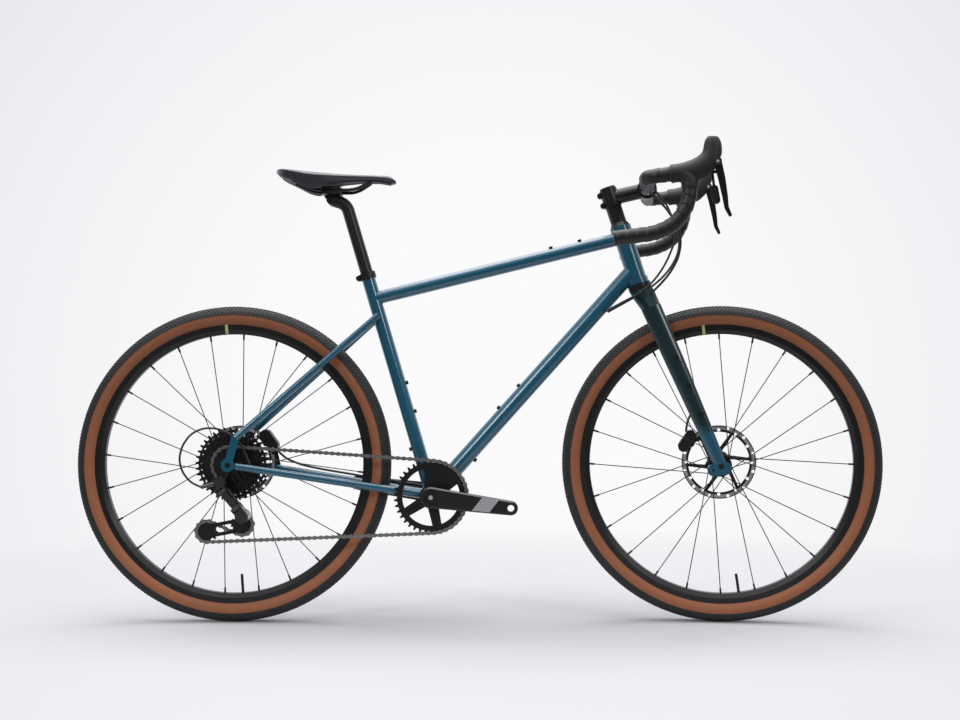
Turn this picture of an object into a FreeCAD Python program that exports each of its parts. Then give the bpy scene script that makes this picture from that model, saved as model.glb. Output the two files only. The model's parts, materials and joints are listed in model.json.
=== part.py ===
import FreeCAD, Part
import math
import os

# A gravel bike: steel frame, drop bars, disc brakes, one chainring and a wide-range cassette.
# Millimetres. +X is forward, +Y is the rider's left, +Z is up.
# The origin is on the ground, in the mid plane, under the middle of the wheelbase.

V = FreeCAD.Vector
LEFTWARDS = V(0, 1, 0)

# Clearances
RUN_FIT = 0.05
SEAT_GAP = 0.3

# Whole bike
WHEELBASE = 1045.0
WHEEL_RADIUS = 339.0
CHAIN_STAY_LENGTH = 432.0
BRACKET_DROP = 68.0
SEAT_ANGLE = 73.5
HEAD_ANGLE = 72.0
FORK_OFFSET = 44.0
STEER_REST = -7.5

# Frame tubes
SEAT_TUBE_LENGTH = 500.0
SEAT_TUBE_R = 14.8
TOP_TUBE_R = 14.3
DOWN_TUBE_R = 17.5
HEAD_TUBE_R = 20.5
HEAD_TUBE_LENGTH = 130.0
HEAD_RING_R = 23.0
HEAD_RING_HEIGHT = 12.0
TUBE_WALL = 1.2
TOP_TUBE_BELOW_SEAT_TOP = 58.0
TOP_TUBE_BELOW_HEAD_TOP = 25.0
DOWN_TUBE_ABOVE_HEAD_END = 33.0
SHELL_R = 20.0
SHELL_WIDTH = 68.0
SHELL_BORE_R = 17.5
CHAIN_STAY_R_FRONT = 9.0
CHAIN_STAY_R_REAR = 7.2
CHAIN_STAY_OUT_FRONT = 21.0
SEAT_STAY_R = 7.5
SEAT_STAY_BELOW_SEAT_TOP = 96.0
SEAT_STAY_OUT_TOP = 17.0
DROPOUT_THICKNESS = 6.0
DROPOUT_BOSS_R = 14.0
DROPOUT_ARM_R = 8.5
DROPOUT_TAB_R = 5.5
STAY_END_FORWARD = 16.0
STAY_END_UP = 57.0
STAY_END_BACK_OFF = 16.0
HANGER_BACK = 14.5
HANGER_DOWN = 34.5
HANGER_R = 9.0
COLLAR_HEIGHT = 14.0
COLLAR_WALL = 3.2
COLLAR_BOLT_R = 3.0

# Threaded bosses along the tubes, with their bolt heads
BOSS_R = 4.2
BOSS_HEIGHT = 4.5
BOSS_PITCH = 64.0
BOSS_BEDDED = 0.6
SEAT_TUBE_BOSS = 184.0
SEAT_TUBE_REAR_BOSS = 108.0
DOWN_TUBE_BOSS = 236.0
DOWN_TUBE_UNDER_BOSS = 118.0
TOP_TUBE_BOSS = 461.0

# Headset and steerer
LOWER_CUP_HEIGHT = 12.0
LOWER_CUP_R = 25.0
UPPER_CUP_HEIGHT = 9.0
UPPER_CUP_R = 21.5
STEERER_R = 14.3
SPACER_R = 17.0
SPACER_HEIGHT = 12.0
SPACER_COUNT = 3
TOP_CAP_HEIGHT = 4.0

# Fork
FORK_LENGTH = 410.0
CROWN_HEIGHT = 44.0
CROWN_TOP_R = 24.5
CROWN_HALF_WIDTH = 52.0
CROWN_HALF_DEPTH = 21.0
CROWN_LEAD = 9.0
CROWN_SHOULDER_HALF = 32.0
LEG_TOP_OUT = 41.0
LEG_TOP_DEPTH = 21.5
LEG_TOP_HALF = 11.0
LEG_LOW_DEPTH = 16.5
LEG_LOW_HALF = 7.0
LEG_END_DEPTH = 12.5
LEG_END_HALF = 6.2
LEG_LOW_UP = 105.0
FORK_END_R = 13.5
FORK_END_LEAD = 9.0
FORK_END_DROP = 4.0
FORK_FOOT_R = 12.5
FORK_FOOT_BACK = 16.0
FORK_FOOT_DROP = 8.0
FORK_EYELET_R = 2.5
FORK_END_ROOM = 30.0
FORK_END_THICKNESS = 12.0
FORK_BOSS_UP = 118.0
FORK_BOSS_LEAD = 7.0
FORK_BOSSES = 3
LEG_MID_UP = 238.0
LEG_MID_DEPTH = 20.0
LEG_MID_HALF = 10.0

# Stem and handlebar
STEM_LENGTH = 80.0
STEM_ANGLE = -6.0
STEM_CLAMP_HEIGHT = 40.0
STEM_CLAMP_R = 19.0
STEM_BODY_R = 16.0
STEM_FACE_HALF = 22.0
STEM_FACE_R = 21.0
STEM_SPLIT = 1.0
STEM_BOLT_R = 3.0
STEM_SHANK_R = STEM_BOLT_R / 1.5
STEM_LUG_SHARES = (0.22, 0.78)
STEM_LUG_BOLT_SHARE = 0.7
BAR_CLAMP_R = 15.9
BAR_CLAMP_HALF = 45.0
BAR_TAPER = 18.0
BAR_R = 11.9
BAR_WALL = 2.0
TAPE_THICKNESS = 3.4
TAPE_START = 74.0
PLUG_THICKNESS = 4.0

# Drop bar centre line, forward, outward and upward from the bar's middle
BAR_SHOULDER = (0.0, 199.0, 1.0)
BAR_RAMP = (15.0, 213.0, 2.5)
BAR_HOOK = (86.0, 215.0, 10.0)
BAR_BEND = (84.0, 218.0, -48.0)
BAR_DROP = (62.0, 221.0, -89.5)
BAR_GRIP = (20.0, 224.0, -111.5)
BAR_END = (-61.0, 228.0, -120.5)

# Brake hoods and levers, forward and upward from the bar's middle
HOOD_OUT = 214.0
HOOD_STATIONS = (
    (48.0, 6.0, 19.0, 17.5),
    (76.0, 9.0, 20.0, 17.0),
    (103.0, 16.0, 22.5, 16.5),
    (123.0, 33.0, 21.0, 15.5),
    (129.5, 54.0, 18.5, 13.5),
    (129.5, 71.0, 15.0, 11.5),
    (130.0, 78.5, 9.5, 7.5),
)
LEVER_PIVOT = (139.0, 28.5)
LEVER_PIVOT_R = 8.0
LEVER_STATIONS = ((147.0, -4.0, 7.0), (153.5, -40.0, 5.4), (156.5, -62.0, 4.2), (163.5, -77.0, 3.2))
LEVER_HALF = 4.6
LEVER_PIN_R = 2.5
LEVER_SLOT_BACK = 16.0
LEVER_SLOT_UP = 12.0
LEVER_SLOT_GAP = 0.6
PADDLE_PIVOT = (129.0, 10.0)
PADDLE_TOP = (133.0, -24.0)
PADDLE_FOOT = (137.0, -46.0)
PADDLE_STEM_R = 2.6
PADDLE_LUG_R = 1.3 * PADDLE_STEM_R
PADDLE_LUG_LENGTH = 1.2 * PADDLE_STEM_R
PADDLE_ROOM_R = 1.8 * PADDLE_LUG_R
PADDLE_WEB_HEIGHT = 6 * PADDLE_LUG_R
PADDLE_R = 8.0
PADDLE_THICKNESS = 3.0
PADDLE_INSET = 8.0

# Wheels
BEAD_SEAT_R = 292.0
RIM_HALF = 13.5
RIM_WALL = 3.0
RIM_FLANGE = 7.5
RIM_DEPTH = 13.5
RIM_FLOOR_HALF = 7.0
TYRE_HALF = 23.5
TYRE_WALL = 2.6
TYRE_WIDE_SHARE = 0.45
TYRE_SHOULDER_SHARE = 0.76
TYRE_SHOULDER_WIDTH = 0.86
TYRE_BULGE_DROP = 3.0
TYRE_BULGE_SHARE = 0.75
TYRE_UPPER_SHARE = 0.56
TREAD_THICKNESS = 5.0
VALVE_R = 3.0
VALVE_LENGTH = 40.0
SPOKE_COUNT = 24
SPOKE_R = 1.0
NIPPLE_R = 2.1
NIPPLE_LENGTH = 12.0
SPOKE_CROSS_ANGLE = 60.0
SPOKE_STAGGER = 1.3
SPOKE_RIM_OUT = 2.5
FLANGE_HALF = 2.6
HUB_SHELL_R = 12.0
END_CAP_R = 9.5
AXLE_R = 6.0
AXLE_HEAD_R = 9.0
AXLE_HEAD_THICKNESS = 5.0
FRONT_HUB_WIDTH = 100.0
FRONT_FLANGE_RIGHT = 35.0
FRONT_FLANGE_LEFT = 24.0
FRONT_FLANGE_R = 24.0
FRONT_SPOKE_START = -0.4
FRONT_VALVE_ANGLE = 171.7
REAR_HUB_WIDTH = 142.0
REAR_FLANGE_RIGHT = 17.0
REAR_FLANGE_LEFT = 31.0
REAR_FLANGE_R = 26.0
REAR_SPOKE_START = 3.9
REAR_VALVE_ANGLE = 176.0

# Disc brakes
ROTOR_R = 80.0
ROTOR_THICKNESS = 1.8
ROTOR_BAND = 14.0
ROTOR_HOLES = 24
ROTOR_HOLE_R = 3.4
ROTOR_ARMS = 6
ROTOR_ARM_R = 3.2
ROTOR_ARM_FLARE = 1.4
ROTOR_CARRIER_R = 22.0
ROTOR_LOCK_R = 17.0
ROTOR_SWEEP = 24.0
FRONT_ROTOR_INSET = 10.5
REAR_ROTOR_INSET = 15.5
CALIPER_LENGTH = 52.0
CALIPER_R = 12.0
CALIPER_ARM_R = 0.7 * CALIPER_R
CALIPER_HALF = 13.0
CALIPER_REACH = 82.0
FRONT_CALIPER_ANGLE = 146.0
REAR_CALIPER_ANGLE = 36.0
PAD_THICKNESS = 1.4
PAD_R = 8.0

# Drive
CHAIN_PITCH = 12.7
PITCH_SEARCH = (0.9, 1.2)
CAGE_SEARCH = 22.0
SEARCH_STEPS = 50
CHAIN_LINE = 47.0
ROLLER_R = 3.87
PIN_R = 1.8
PLATE_R = 4.15
PLATE_WAIST = 2.7
PLATE_WAIST_R = 9.0
PLATE_THICKNESS = 0.8
INNER_WIDTH = 2.2
RING_TEETH = 38
COG_TEETH = (11, 13, 15, 17, 19, 21, 24, 27, 30, 34, 38)
CHAIN_COG = 4
COG_SPACING = 3.74
COG_THICKNESS = 1.7
COG_BODY_R = 18.0
COG_HOLE_R = 4.4
COG_HOLED_FROM = 24
COG_HOLE_PITCH = 3.1 * COG_HOLE_R
TOOTH_ROOT = 4.3
TOOTH_SEAT_HALF = 2.6
TOOTH_FLANK_HALF = 4.2
TOOTH_TIP = 2.6
TOOTH_TIP_HALF = 1.2
RING_THICKNESS = 1.9
RING_INNER_R = 61.0
RING_HUB_R = 25.0
RING_ARM_ANGLES = (35.0, 95.0, 212.0, 282.0)
RING_ARM_R = 9.5
CRANK_LENGTH = 170.0
CRANK_ANGLE = -7.5
CRANK_BOSS_R = 22.0
CRANK_EYE_R = 15.0
CRANK_THICKNESS = 14.0
CRANK_INSET = 58.0
CRANK_BEVEL = 3.0
PEDAL_THREAD_R = 7.14
SPINDLE_R = 14.5
SPINDLE_WALL = 3.0
SPINDLE_RECESS = 4.0
SPINDLE_END_WALL = 8.0
CUP_R = 22.0
CUP_THICKNESS = 9.0
CUP_SLEEVE = 14.0

# Rear derailleur
LINK_LENGTH = 46.0
LINK_SLOPE = -49.0
KNUCKLE_FORWARD = 5.0
KNUCKLE_DROP = 20.0
LINK_OUTER_OUT = 87.0
LINK_INNER_OUT = 71.0
LINK_PIN_R = 2.5
LINK_EYE_R = 5.4
LINK_EYE_HALF = 8.0
LINK_HALF = 6.8
LINK_THICKNESS = 4.0
EAR_THICKNESS = 2.8
EAR_REACH = 13.0
CAGE_PIVOT_FORWARD = 12.0
CAGE_PIVOT_DROP = 18.0
CAGE_PIN_R = 5.0
CAGE_KNUCKLE_R = 14.0
GUIDE_ARM = 21.0
GUIDE_LAG = 50.0
TENSION_ARM = 89.0
CAGE_ANGLE = 204.0
PULLEY_TEETH = 11
PULLEY_PIN_R = 2.5
PULLEY_HUB_R = 6.0
CAGE_PLATE_R = 14.0
CAGE_PLATE_OUT = 4.6
CAGE_PLATE_THICKNESS = 2.0
CAGE_WINDOW = (0.34, 0.66)
STOP_BACK = 38.0
STOP_DOWN = 10.5

# Saddle and seatpost
POST_R = 13.6
POST_INSERT = 150.0
POST_ELBOW = 155.0
POST_HEAD_R = 12.0
POST_SET_BACK = 30.7
POST_HEAD_RISE = 10.0
RAIL_R = 3.5
RAIL_ABOVE_HEAD = 18.5
RAIL_BED = 5.5
RAIL_NOSE = (-230.0, 10.0)
RAIL_FRONT_BEND = (-262.0, 22.0)
RAIL_REAR_BEND = (-352.0, 22.0)
RAIL_TAIL = (-396.0, 30.0)
CLAMP_HALF = 27.0
CLAMP_LENGTH = 40.0
CLAMP_PLATE = 7.0
CLAMP_BOLT_R = 3.0
SADDLE_BASE_THICKNESS = 3.0
BASE_SHARE = 0.86
SADDLE_DRAWN_SHARE = 0.6

# Saddle sections from nose to tail: place along X, half width, lower half width, and the heights of
# the crown, the widest line, the lower edge and the hollow underneath
SADDLE_SECTIONS = (
    (-175.0, 9.0, 7.0, 950.5, 948.0, 944.5, 945.5),
    (-186.0, 17.0, 13.5, 958.5, 951.5, 943.5, 947.0),
    (-210.0, 21.0, 17.0, 961.0, 954.5, 948.0, 951.5),
    (-250.0, 25.0, 20.0, 962.3, 955.5, 948.5, 952.0),
    (-290.0, 35.0, 28.0, 963.6, 955.0, 945.0, 951.5),
    (-322.0, 50.0, 42.0, 965.0, 954.0, 936.0, 951.5),
    (-345.0, 62.0, 55.0, 966.5, 953.5, 925.0, 952.0),
    (-365.0, 68.0, 62.0, 967.5, 955.0, 929.0, 953.0),
    (-395.0, 70.0, 65.0, 969.8, 961.0, 944.5, 956.0),
    (-415.0, 58.0, 55.0, 970.4, 966.0, 954.0, 961.0),
    (-425.0, 42.0, 40.0, 970.2, 967.5, 960.5, 963.5),
    (-431.0, 22.0, 21.0, 968.5, 967.0, 963.5, 964.5),
)

# Control lines
HOSE_R = 2.5
HOUSING_R = 2.2
CORD_BEND_SHARE = 0.45
LINE_START_GAP = 2.5

# Places worked out from the sizes above
rear_axle = V(-WHEELBASE / 2, 0, WHEEL_RADIUS)
front_axle = V(WHEELBASE / 2, 0, WHEEL_RADIUS)
bracket = rear_axle + V(math.sqrt(CHAIN_STAY_LENGTH ** 2 - BRACKET_DROP ** 2), 0, -BRACKET_DROP)
seat_up = V(-math.cos(math.radians(SEAT_ANGLE)), 0, math.sin(math.radians(SEAT_ANGLE)))
seat_front = V(seat_up.z, 0, -seat_up.x)
steer_up = V(-math.cos(math.radians(HEAD_ANGLE)), 0, math.sin(math.radians(HEAD_ANGLE)))
steer_front = V(steer_up.z, 0, -steer_up.x)
steer_foot = front_axle - steer_front * FORK_OFFSET
head_low = FORK_LENGTH + LOWER_CUP_HEIGHT
head_high = head_low + HEAD_TUBE_LENGTH
spacer_low = head_high + UPPER_CUP_HEIGHT
stem_low = spacer_low + SPACER_COUNT * SPACER_HEIGHT
stem_high = stem_low + STEM_CLAMP_HEIGHT


def on_steer(height, out=0.0, left=0.0):
    """A point by its height along the steering axis, its lead and its place to the left."""
    return steer_foot + steer_up * height + steer_front * out + LEFTWARDS * left


def on_seat(height, out=0.0, left=0.0):
    """A point by its height along the seat tube from the bracket, its lead and its place to the left."""
    return bracket + seat_up * height + seat_front * out + LEFTWARDS * left


stem_tilt = math.radians(STEM_ANGLE)
bar_middle = on_steer(
    (stem_low + stem_high) / 2 + STEM_LENGTH * math.sin(stem_tilt), STEM_LENGTH * math.cos(stem_tilt)
)
seat_top = on_seat(SEAT_TUBE_LENGTH)


def at_bar(place, side):
    """A point forward, outward and upward from the bar's middle, on one side of the bike."""
    return bar_middle + V(place[0], side * place[1], place[2])


# Shapes used by many pieces
def rod(start, end, radius):
    return Part.makeCylinder(radius, (end - start).Length, start, end - start)


def tapered(start, end, radius_start, radius_end):
    return Part.makeCone(radius_start, radius_end, (end - start).Length, start, end - start)


def hollow(start, end, radius, bore):
    return rod(start, end, radius).cut(rod(start, end, bore))


def crossways(place, y_from, y_to, radius):
    """A cylinder along Y through a place in the side view."""
    low = min(y_from, y_to)
    return Part.makeCylinder(radius, abs(y_to - y_from), V(place.x, low, place.z), LEFTWARDS)


def lathed(profile, centre):
    """A profile of (y, radius) points turned about the wheel axis through a centre."""
    points = [V(radius, y, 0) for y, radius in profile]
    face = Part.Face(Part.makePolygon(points + points[:1]))
    solid = face.revolve(V(0, 0, 0), LEFTWARDS, 360)
    solid.translate(V(centre.x, 0, centre.z))
    return solid


def plate(points, y_from, y_to):
    """A side-view outline pushed out from one Y to another."""
    low = min(y_from, y_to)
    outline = [V(p.x, low, p.z) for p in points]
    return Part.Face(Part.makePolygon(outline + outline[:1])).extrude(LEFTWARDS * abs(y_to - y_from))


def arm(first, first_r, second, second_r, y_from, y_to):
    """The outline round two circles in the side view, pushed out along Y."""
    low = min(y_from, y_to)
    heading = math.atan2(second.z - first.z, second.x - first.x)
    spread = math.acos((first_r - second_r) / math.hypot(second.x - first.x, second.z - first.z))

    def on_circle(centre, radius, angle):
        return V(centre.x + radius * math.cos(angle), low, centre.z + radius * math.sin(angle))

    a = on_circle(first, first_r, heading + spread)
    b = on_circle(first, first_r, heading + math.pi)
    c = on_circle(first, first_r, heading - spread)
    d = on_circle(second, second_r, heading - spread)
    e = on_circle(second, second_r, heading)
    f = on_circle(second, second_r, heading + spread)
    edges = [Part.Arc(a, b, c), Part.LineSegment(c, d), Part.Arc(d, e, f), Part.LineSegment(f, a)]
    wire = Part.Wire([edge.toShape() for edge in edges])
    return Part.Face(wire).extrude(LEFTWARDS * abs(y_to - y_from))


def oval(centre, long_way, half_long, short_way, half_short):
    """An ellipse with its longer half axis along one direction and its shorter along another."""
    long_end = centre + long_way * half_long
    short_end = centre + short_way * half_short
    return Part.Wire([Part.Ellipse(long_end, short_end, centre).toShape()])


def joined(first, *others):
    return first.fuse(list(others)).removeSplitter()


def biggest(shape):
    return max(shape.Solids, key=lambda solid: solid.Volume)


def bent_path(points):
    """Straight runs joined by tangent arcs, each as large as its two runs allow."""
    edges = []
    start = points[0]
    for before, corner, after in zip(points, points[1:], points[2:]):
        way_in = (corner - before).normalize()
        way_out = (after - corner).normalize()
        half_turn = way_in.getAngle(way_out) / 2
        trim = CORD_BEND_SHARE * min((corner - before).Length, (after - corner).Length)
        radius = trim / math.tan(half_turn)
        inward = (way_out - way_in).normalize()
        middle = corner + inward * (radius / math.cos(half_turn) - radius)
        arc_start = corner - way_in * trim
        arc_end = corner + way_out * trim
        edges.append(Part.LineSegment(start, arc_start).toShape())
        edges.append(Part.Arc(arc_start, middle, arc_end).toShape())
        start = arc_end
    edges.append(Part.LineSegment(start, points[-1]).toShape())
    return Part.Wire(edges)


def bent_rod(points, radius):
    """A round rod along a bent path."""
    path = bent_path(points)
    ring = Part.Wire([Part.Circle(points[0], points[1] - points[0], radius).toShape()])
    return path.makePipeShell([ring], True, False)


def cord(name, points, radius):
    """A held line along its route, with its volume and tightest bend printed."""
    solid = bent_rod(points, radius)
    path = bent_path(points)
    bends = [edge.Curve.Radius for edge in path.Edges if hasattr(edge.Curve, "Radius")]
    share = solid.Volume / (math.pi * radius ** 2 * path.Length)
    print(f"{name}: length {path.Length:.0f}, tightest bend {min(bends):.1f}, volume share {share:.4f}")
    return solid


# Frame
def frame_tubes():
    """Main tubes, mitred against each other."""
    seat_outer = rod(bracket, seat_top, SEAT_TUBE_R)
    shell_outer = crossways(bracket, -SHELL_WIDTH / 2, SHELL_WIDTH / 2, SHELL_R)
    head_bottom = on_steer(head_low)
    head_top = on_steer(head_high)
    head_outer = rod(head_bottom, head_top, HEAD_TUBE_R)
    top_rear = on_seat(SEAT_TUBE_LENGTH - TOP_TUBE_BELOW_SEAT_TOP)
    top_front = on_steer(head_high - TOP_TUBE_BELOW_HEAD_TOP)
    down_front = on_steer(head_low + DOWN_TUBE_ABOVE_HEAD_END)
    shell = shell_outer.cut(crossways(bracket, -SHELL_WIDTH / 2, SHELL_WIDTH / 2, SHELL_BORE_R))
    seat_tube = hollow(bracket, seat_top, SEAT_TUBE_R, POST_R + RUN_FIT).cut(shell_outer)
    top_tube = hollow(top_rear, top_front, TOP_TUBE_R, TOP_TUBE_R - TUBE_WALL).cut([seat_outer, head_outer])
    down_tube = hollow(bracket, down_front, DOWN_TUBE_R, DOWN_TUBE_R - TUBE_WALL)
    cup_room = rod(on_steer(FORK_LENGTH), head_bottom, LOWER_CUP_R + SEAT_GAP)
    down_tube = down_tube.cut([shell_outer, seat_outer, head_outer, cup_room])
    low_ring = rod(head_bottom, on_steer(head_low + HEAD_RING_HEIGHT), HEAD_RING_R)
    high_ring = rod(on_steer(head_high - HEAD_RING_HEIGHT), head_top, HEAD_RING_R)
    head_bore = rod(head_bottom, head_top, STEERER_R + 2 * TUBE_WALL)
    head_tube = joined(head_outer, low_ring, high_ring).cut(head_bore)
    head_tube = head_tube.cut([top_tube, down_tube])
    save("bottom_bracket_shell", shell)
    save("seat_tube", biggest(seat_tube))
    save("top_tube", biggest(top_tube))
    save("down_tube", biggest(down_tube))
    save("head_tube", biggest(head_tube))


def stay_end(side):
    return rear_axle + V(STAY_END_FORWARD, side * dropout_middle, STAY_END_UP)


dropout_inner = REAR_HUB_WIDTH / 2
dropout_middle = dropout_inner + DROPOUT_THICKNESS / 2
hanger_bolt = rear_axle + V(-HANGER_BACK, 0, -HANGER_DOWN)


def rear_triangle():
    """Chain stays, seat stays, dropouts and the derailleur hanger."""
    shell_outer = crossways(bracket, -SHELL_WIDTH / 2, SHELL_WIDTH / 2, SHELL_R)
    seat_outer = rod(bracket, seat_top, SEAT_TUBE_R)
    chain_stays = []
    seat_stays = []
    dropouts = []
    for side in (-1, 1):
        stay_front = bracket + LEFTWARDS * side * CHAIN_STAY_OUT_FRONT
        stay_rear = rear_axle + LEFTWARDS * side * dropout_middle
        stay_run = (stay_front - stay_rear).normalize()
        stay_rear = stay_rear + stay_run * STAY_END_BACK_OFF
        low_end = stay_end(side)
        high_end = on_seat(SEAT_TUBE_LENGTH - SEAT_STAY_BELOW_SEAT_TOP, 0, side * SEAT_STAY_OUT_TOP)
        inner = side * dropout_inner
        outer = side * (dropout_inner + DROPOUT_THICKNESS)
        plate_solid = joined(
            crossways(rear_axle, inner, outer, DROPOUT_BOSS_R),
            arm(rear_axle, DROPOUT_ARM_R, low_end, DROPOUT_ARM_R, inner, outer),
            arm(rear_axle, DROPOUT_ARM_R, stay_rear, DROPOUT_TAB_R, inner, outer),
        )
        plate_solid = plate_solid.cut(crossways(rear_axle, inner, outer, AXLE_R + RUN_FIT))
        chain_stay = tapered(stay_rear, stay_front, CHAIN_STAY_R_REAR, CHAIN_STAY_R_FRONT)
        seat_stay = rod(low_end, high_end, SEAT_STAY_R)
        chain_stays.append(biggest(chain_stay.cut([shell_outer, plate_solid])))
        seat_stays.append(biggest(seat_stay.cut([seat_outer, plate_solid])))
        dropouts.append(plate_solid)
    outer_face = -dropout_inner - DROPOUT_THICKNESS
    hanger = arm(rear_axle, HANGER_R, hanger_bolt, HANGER_R, -dropout_inner, outer_face)
    hanger = biggest(hanger.cut([dropouts[0], crossways(rear_axle, 0, -REAR_HUB_WIDTH, DROPOUT_BOSS_R)]))
    save("chain_stays", *chain_stays)
    save("seat_stays", *seat_stays)
    save("dropouts", *dropouts)
    save("derailleur_hanger", hanger)


def seat_collar():
    """Clamp ring round the seat tube's top, with a split lug and bolt behind."""
    low = on_seat(SEAT_TUBE_LENGTH - COLLAR_HEIGHT)
    collar_r = SEAT_TUBE_R + COLLAR_WALL
    ring = hollow(low, seat_top, collar_r, SEAT_TUBE_R)
    lug_middle = on_seat(SEAT_TUBE_LENGTH - COLLAR_HEIGHT / 2, -collar_r - COLLAR_BOLT_R / 2)
    lug = crossways(lug_middle, -3 * COLLAR_BOLT_R, 3 * COLLAR_BOLT_R, COLLAR_HEIGHT / 2 - 1)
    lug = lug.cut(rod(low, seat_top, collar_r - COLLAR_WALL / 2))
    bolt_reach = 4 * COLLAR_BOLT_R
    bolt = crossways(lug_middle, -bolt_reach, bolt_reach, COLLAR_BOLT_R)
    collar = joined(ring, lug).cut(bolt)
    save("seat_collar", collar, bolt)


def bosses():
    """Bolt heads in the threaded bosses along the tubes."""
    solids = []

    def boss(place, outward):
        solids.append(rod(place - outward * BOSS_BEDDED, place + outward * BOSS_HEIGHT, BOSS_R))

    for step in (0, 1):
        boss(on_seat(SEAT_TUBE_BOSS + step * BOSS_PITCH, SEAT_TUBE_R), seat_front)
    boss(on_seat(SEAT_TUBE_REAR_BOSS, -SEAT_TUBE_R), -seat_front)
    down_front = on_steer(head_low + DOWN_TUBE_ABOVE_HEAD_END)
    down_along = (down_front - bracket).normalize()
    down_over = V(-down_along.z, 0, down_along.x)
    for step in (0, 1):
        boss(bracket + down_along * (DOWN_TUBE_BOSS + step * BOSS_PITCH) + down_over * DOWN_TUBE_R, down_over)
    boss(bracket + down_along * DOWN_TUBE_UNDER_BOSS - down_over * DOWN_TUBE_R, -down_over)
    top_rear = on_seat(SEAT_TUBE_LENGTH - TOP_TUBE_BELOW_SEAT_TOP)
    top_along = (on_steer(head_high - TOP_TUBE_BELOW_HEAD_TOP) - top_rear).normalize()
    top_over = V(-top_along.z, 0, top_along.x)
    for step in (0, 1):
        boss(top_rear + top_along * (TOP_TUBE_BOSS - step * BOSS_PITCH) + top_over * TOP_TUBE_R, top_over)
    tubes = [made[name] for name in ("seat_tube", "down_tube", "top_tube")]
    solids = [biggest(solid.cut(tubes)) for solid in solids]
    save("boss_bolts", *solids)


def headset():
    """Bearing cups pressed into the head tube, fixed to the frame."""
    bore = STEERER_R + RUN_FIT
    lower = hollow(on_steer(FORK_LENGTH + SEAT_GAP), on_steer(head_low), LOWER_CUP_R, bore)
    sleeve_r = STEERER_R + 2 * TUBE_WALL
    lower_sleeve = hollow(on_steer(head_low), on_steer(head_low + 2 * HEAD_RING_HEIGHT), sleeve_r, bore)
    upper = tapered(on_steer(head_high), on_steer(spacer_low - SEAT_GAP), UPPER_CUP_R, SPACER_R)
    upper = upper.cut(rod(on_steer(head_high), on_steer(spacer_low), bore))
    upper_sleeve = hollow(on_steer(head_high - 2 * HEAD_RING_HEIGHT), on_steer(head_high), sleeve_r, bore)
    save("headset_cups", joined(lower, lower_sleeve), joined(upper, upper_sleeve))


def bracket_cups():
    """Threaded bearing cups on both ends of the bottom bracket shell."""
    cups = []
    for side in (-1, 1):
        face = side * SHELL_WIDTH / 2
        flange = crossways(bracket, face, face + side * CUP_THICKNESS, CUP_R)
        sleeve = crossways(bracket, face, face - side * CUP_SLEEVE, SHELL_BORE_R)
        bore = crossways(bracket, -SHELL_WIDTH, SHELL_WIDTH, SPINDLE_R + RUN_FIT)
        cups.append(joined(flange, sleeve).cut(bore))
    save("bottom_bracket_cups", *cups)


# Wheels
def tyre(centre):
    """Hollow tyre: beads, bulging side walls and a crowned tread."""
    bead_out = RIM_HALF - RIM_WALL - SEAT_GAP
    bead_in = bead_out - TYRE_WALL
    low = BEAD_SEAT_R + SEAT_GAP
    edge = BEAD_SEAT_R + RIM_FLANGE + 2 * SEAT_GAP
    height = WHEEL_RADIUS - edge
    wide = edge + TYRE_WIDE_SHARE * height
    shoulder = edge + TYRE_SHOULDER_SHARE * height

    def half(y):
        return V(wide, y, 0)

    def outline(out_bead, out_wide, crown, rim_edge):
        shoulder_out = out_wide * TYRE_SHOULDER_WIDTH
        points = {
            "a": V(low, out_bead, 0),
            "b": V(rim_edge, out_bead, 0),
            "c": half(out_wide),
            "d": V(shoulder, shoulder_out, 0),
            "e": V(crown, 0, 0),
        }
        return points

    outside = outline(bead_out, TYRE_HALF, WHEEL_RADIUS, edge)
    inside = outline(bead_in, TYRE_HALF - TYRE_WALL, WHEEL_RADIUS - TREAD_THICKNESS, edge + TYRE_WALL)
    inside["d"] = V(shoulder - TREAD_THICKNESS / 2, inside["d"].y - TYRE_WALL / 2, 0)

    def mirrored(point):
        return V(point.x, -point.y, point.z)

    def side_arc(points, flip):
        bulge = points["b"] + (points["c"] - points["b"]) * 0.5
        bulge.x -= TYRE_BULGE_DROP
        bulge.y = points["b"].y + (points["c"].y - points["b"].y) * TYRE_BULGE_SHARE
        upper = points["c"] + (points["d"] - points["c"]) * 0.5
        upper.y = points["d"].y + (points["c"].y - points["d"].y) * TYRE_UPPER_SHARE
        names = (points["b"], bulge, points["c"], upper, points["d"])
        b, m, c, n, d = [mirrored(p) if flip else p for p in names]
        return [Part.Arc(b, m, c).toShape(), Part.Arc(c, n, d).toShape()]

    edges = []
    edges.append(Part.LineSegment(outside["a"], outside["b"]).toShape())
    edges += side_arc(outside, False)
    edges.append(Part.Arc(outside["d"], outside["e"], mirrored(outside["d"])).toShape())
    edges += side_arc(outside, True)
    edges.append(Part.LineSegment(mirrored(outside["b"]), mirrored(outside["a"])).toShape())
    edges.append(Part.LineSegment(mirrored(outside["a"]), mirrored(inside["a"])).toShape())
    edges.append(Part.LineSegment(mirrored(inside["a"]), mirrored(inside["b"])).toShape())
    edges += side_arc(inside, True)
    edges.append(Part.Arc(mirrored(inside["d"]), inside["e"], inside["d"]).toShape())
    edges += side_arc(inside, False)
    edges.append(Part.LineSegment(inside["b"], inside["a"]).toShape())
    edges.append(Part.LineSegment(inside["a"], outside["a"]).toShape())
    wire = Part.Wire(Part.__sortEdges__(edges))
    solid = Part.Face(wire).revolve(V(0, 0, 0), LEFTWARDS, 360)
    solid.translate(V(centre.x, 0, centre.z))
    return solid


rim_inner_r = BEAD_SEAT_R - RIM_DEPTH


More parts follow.
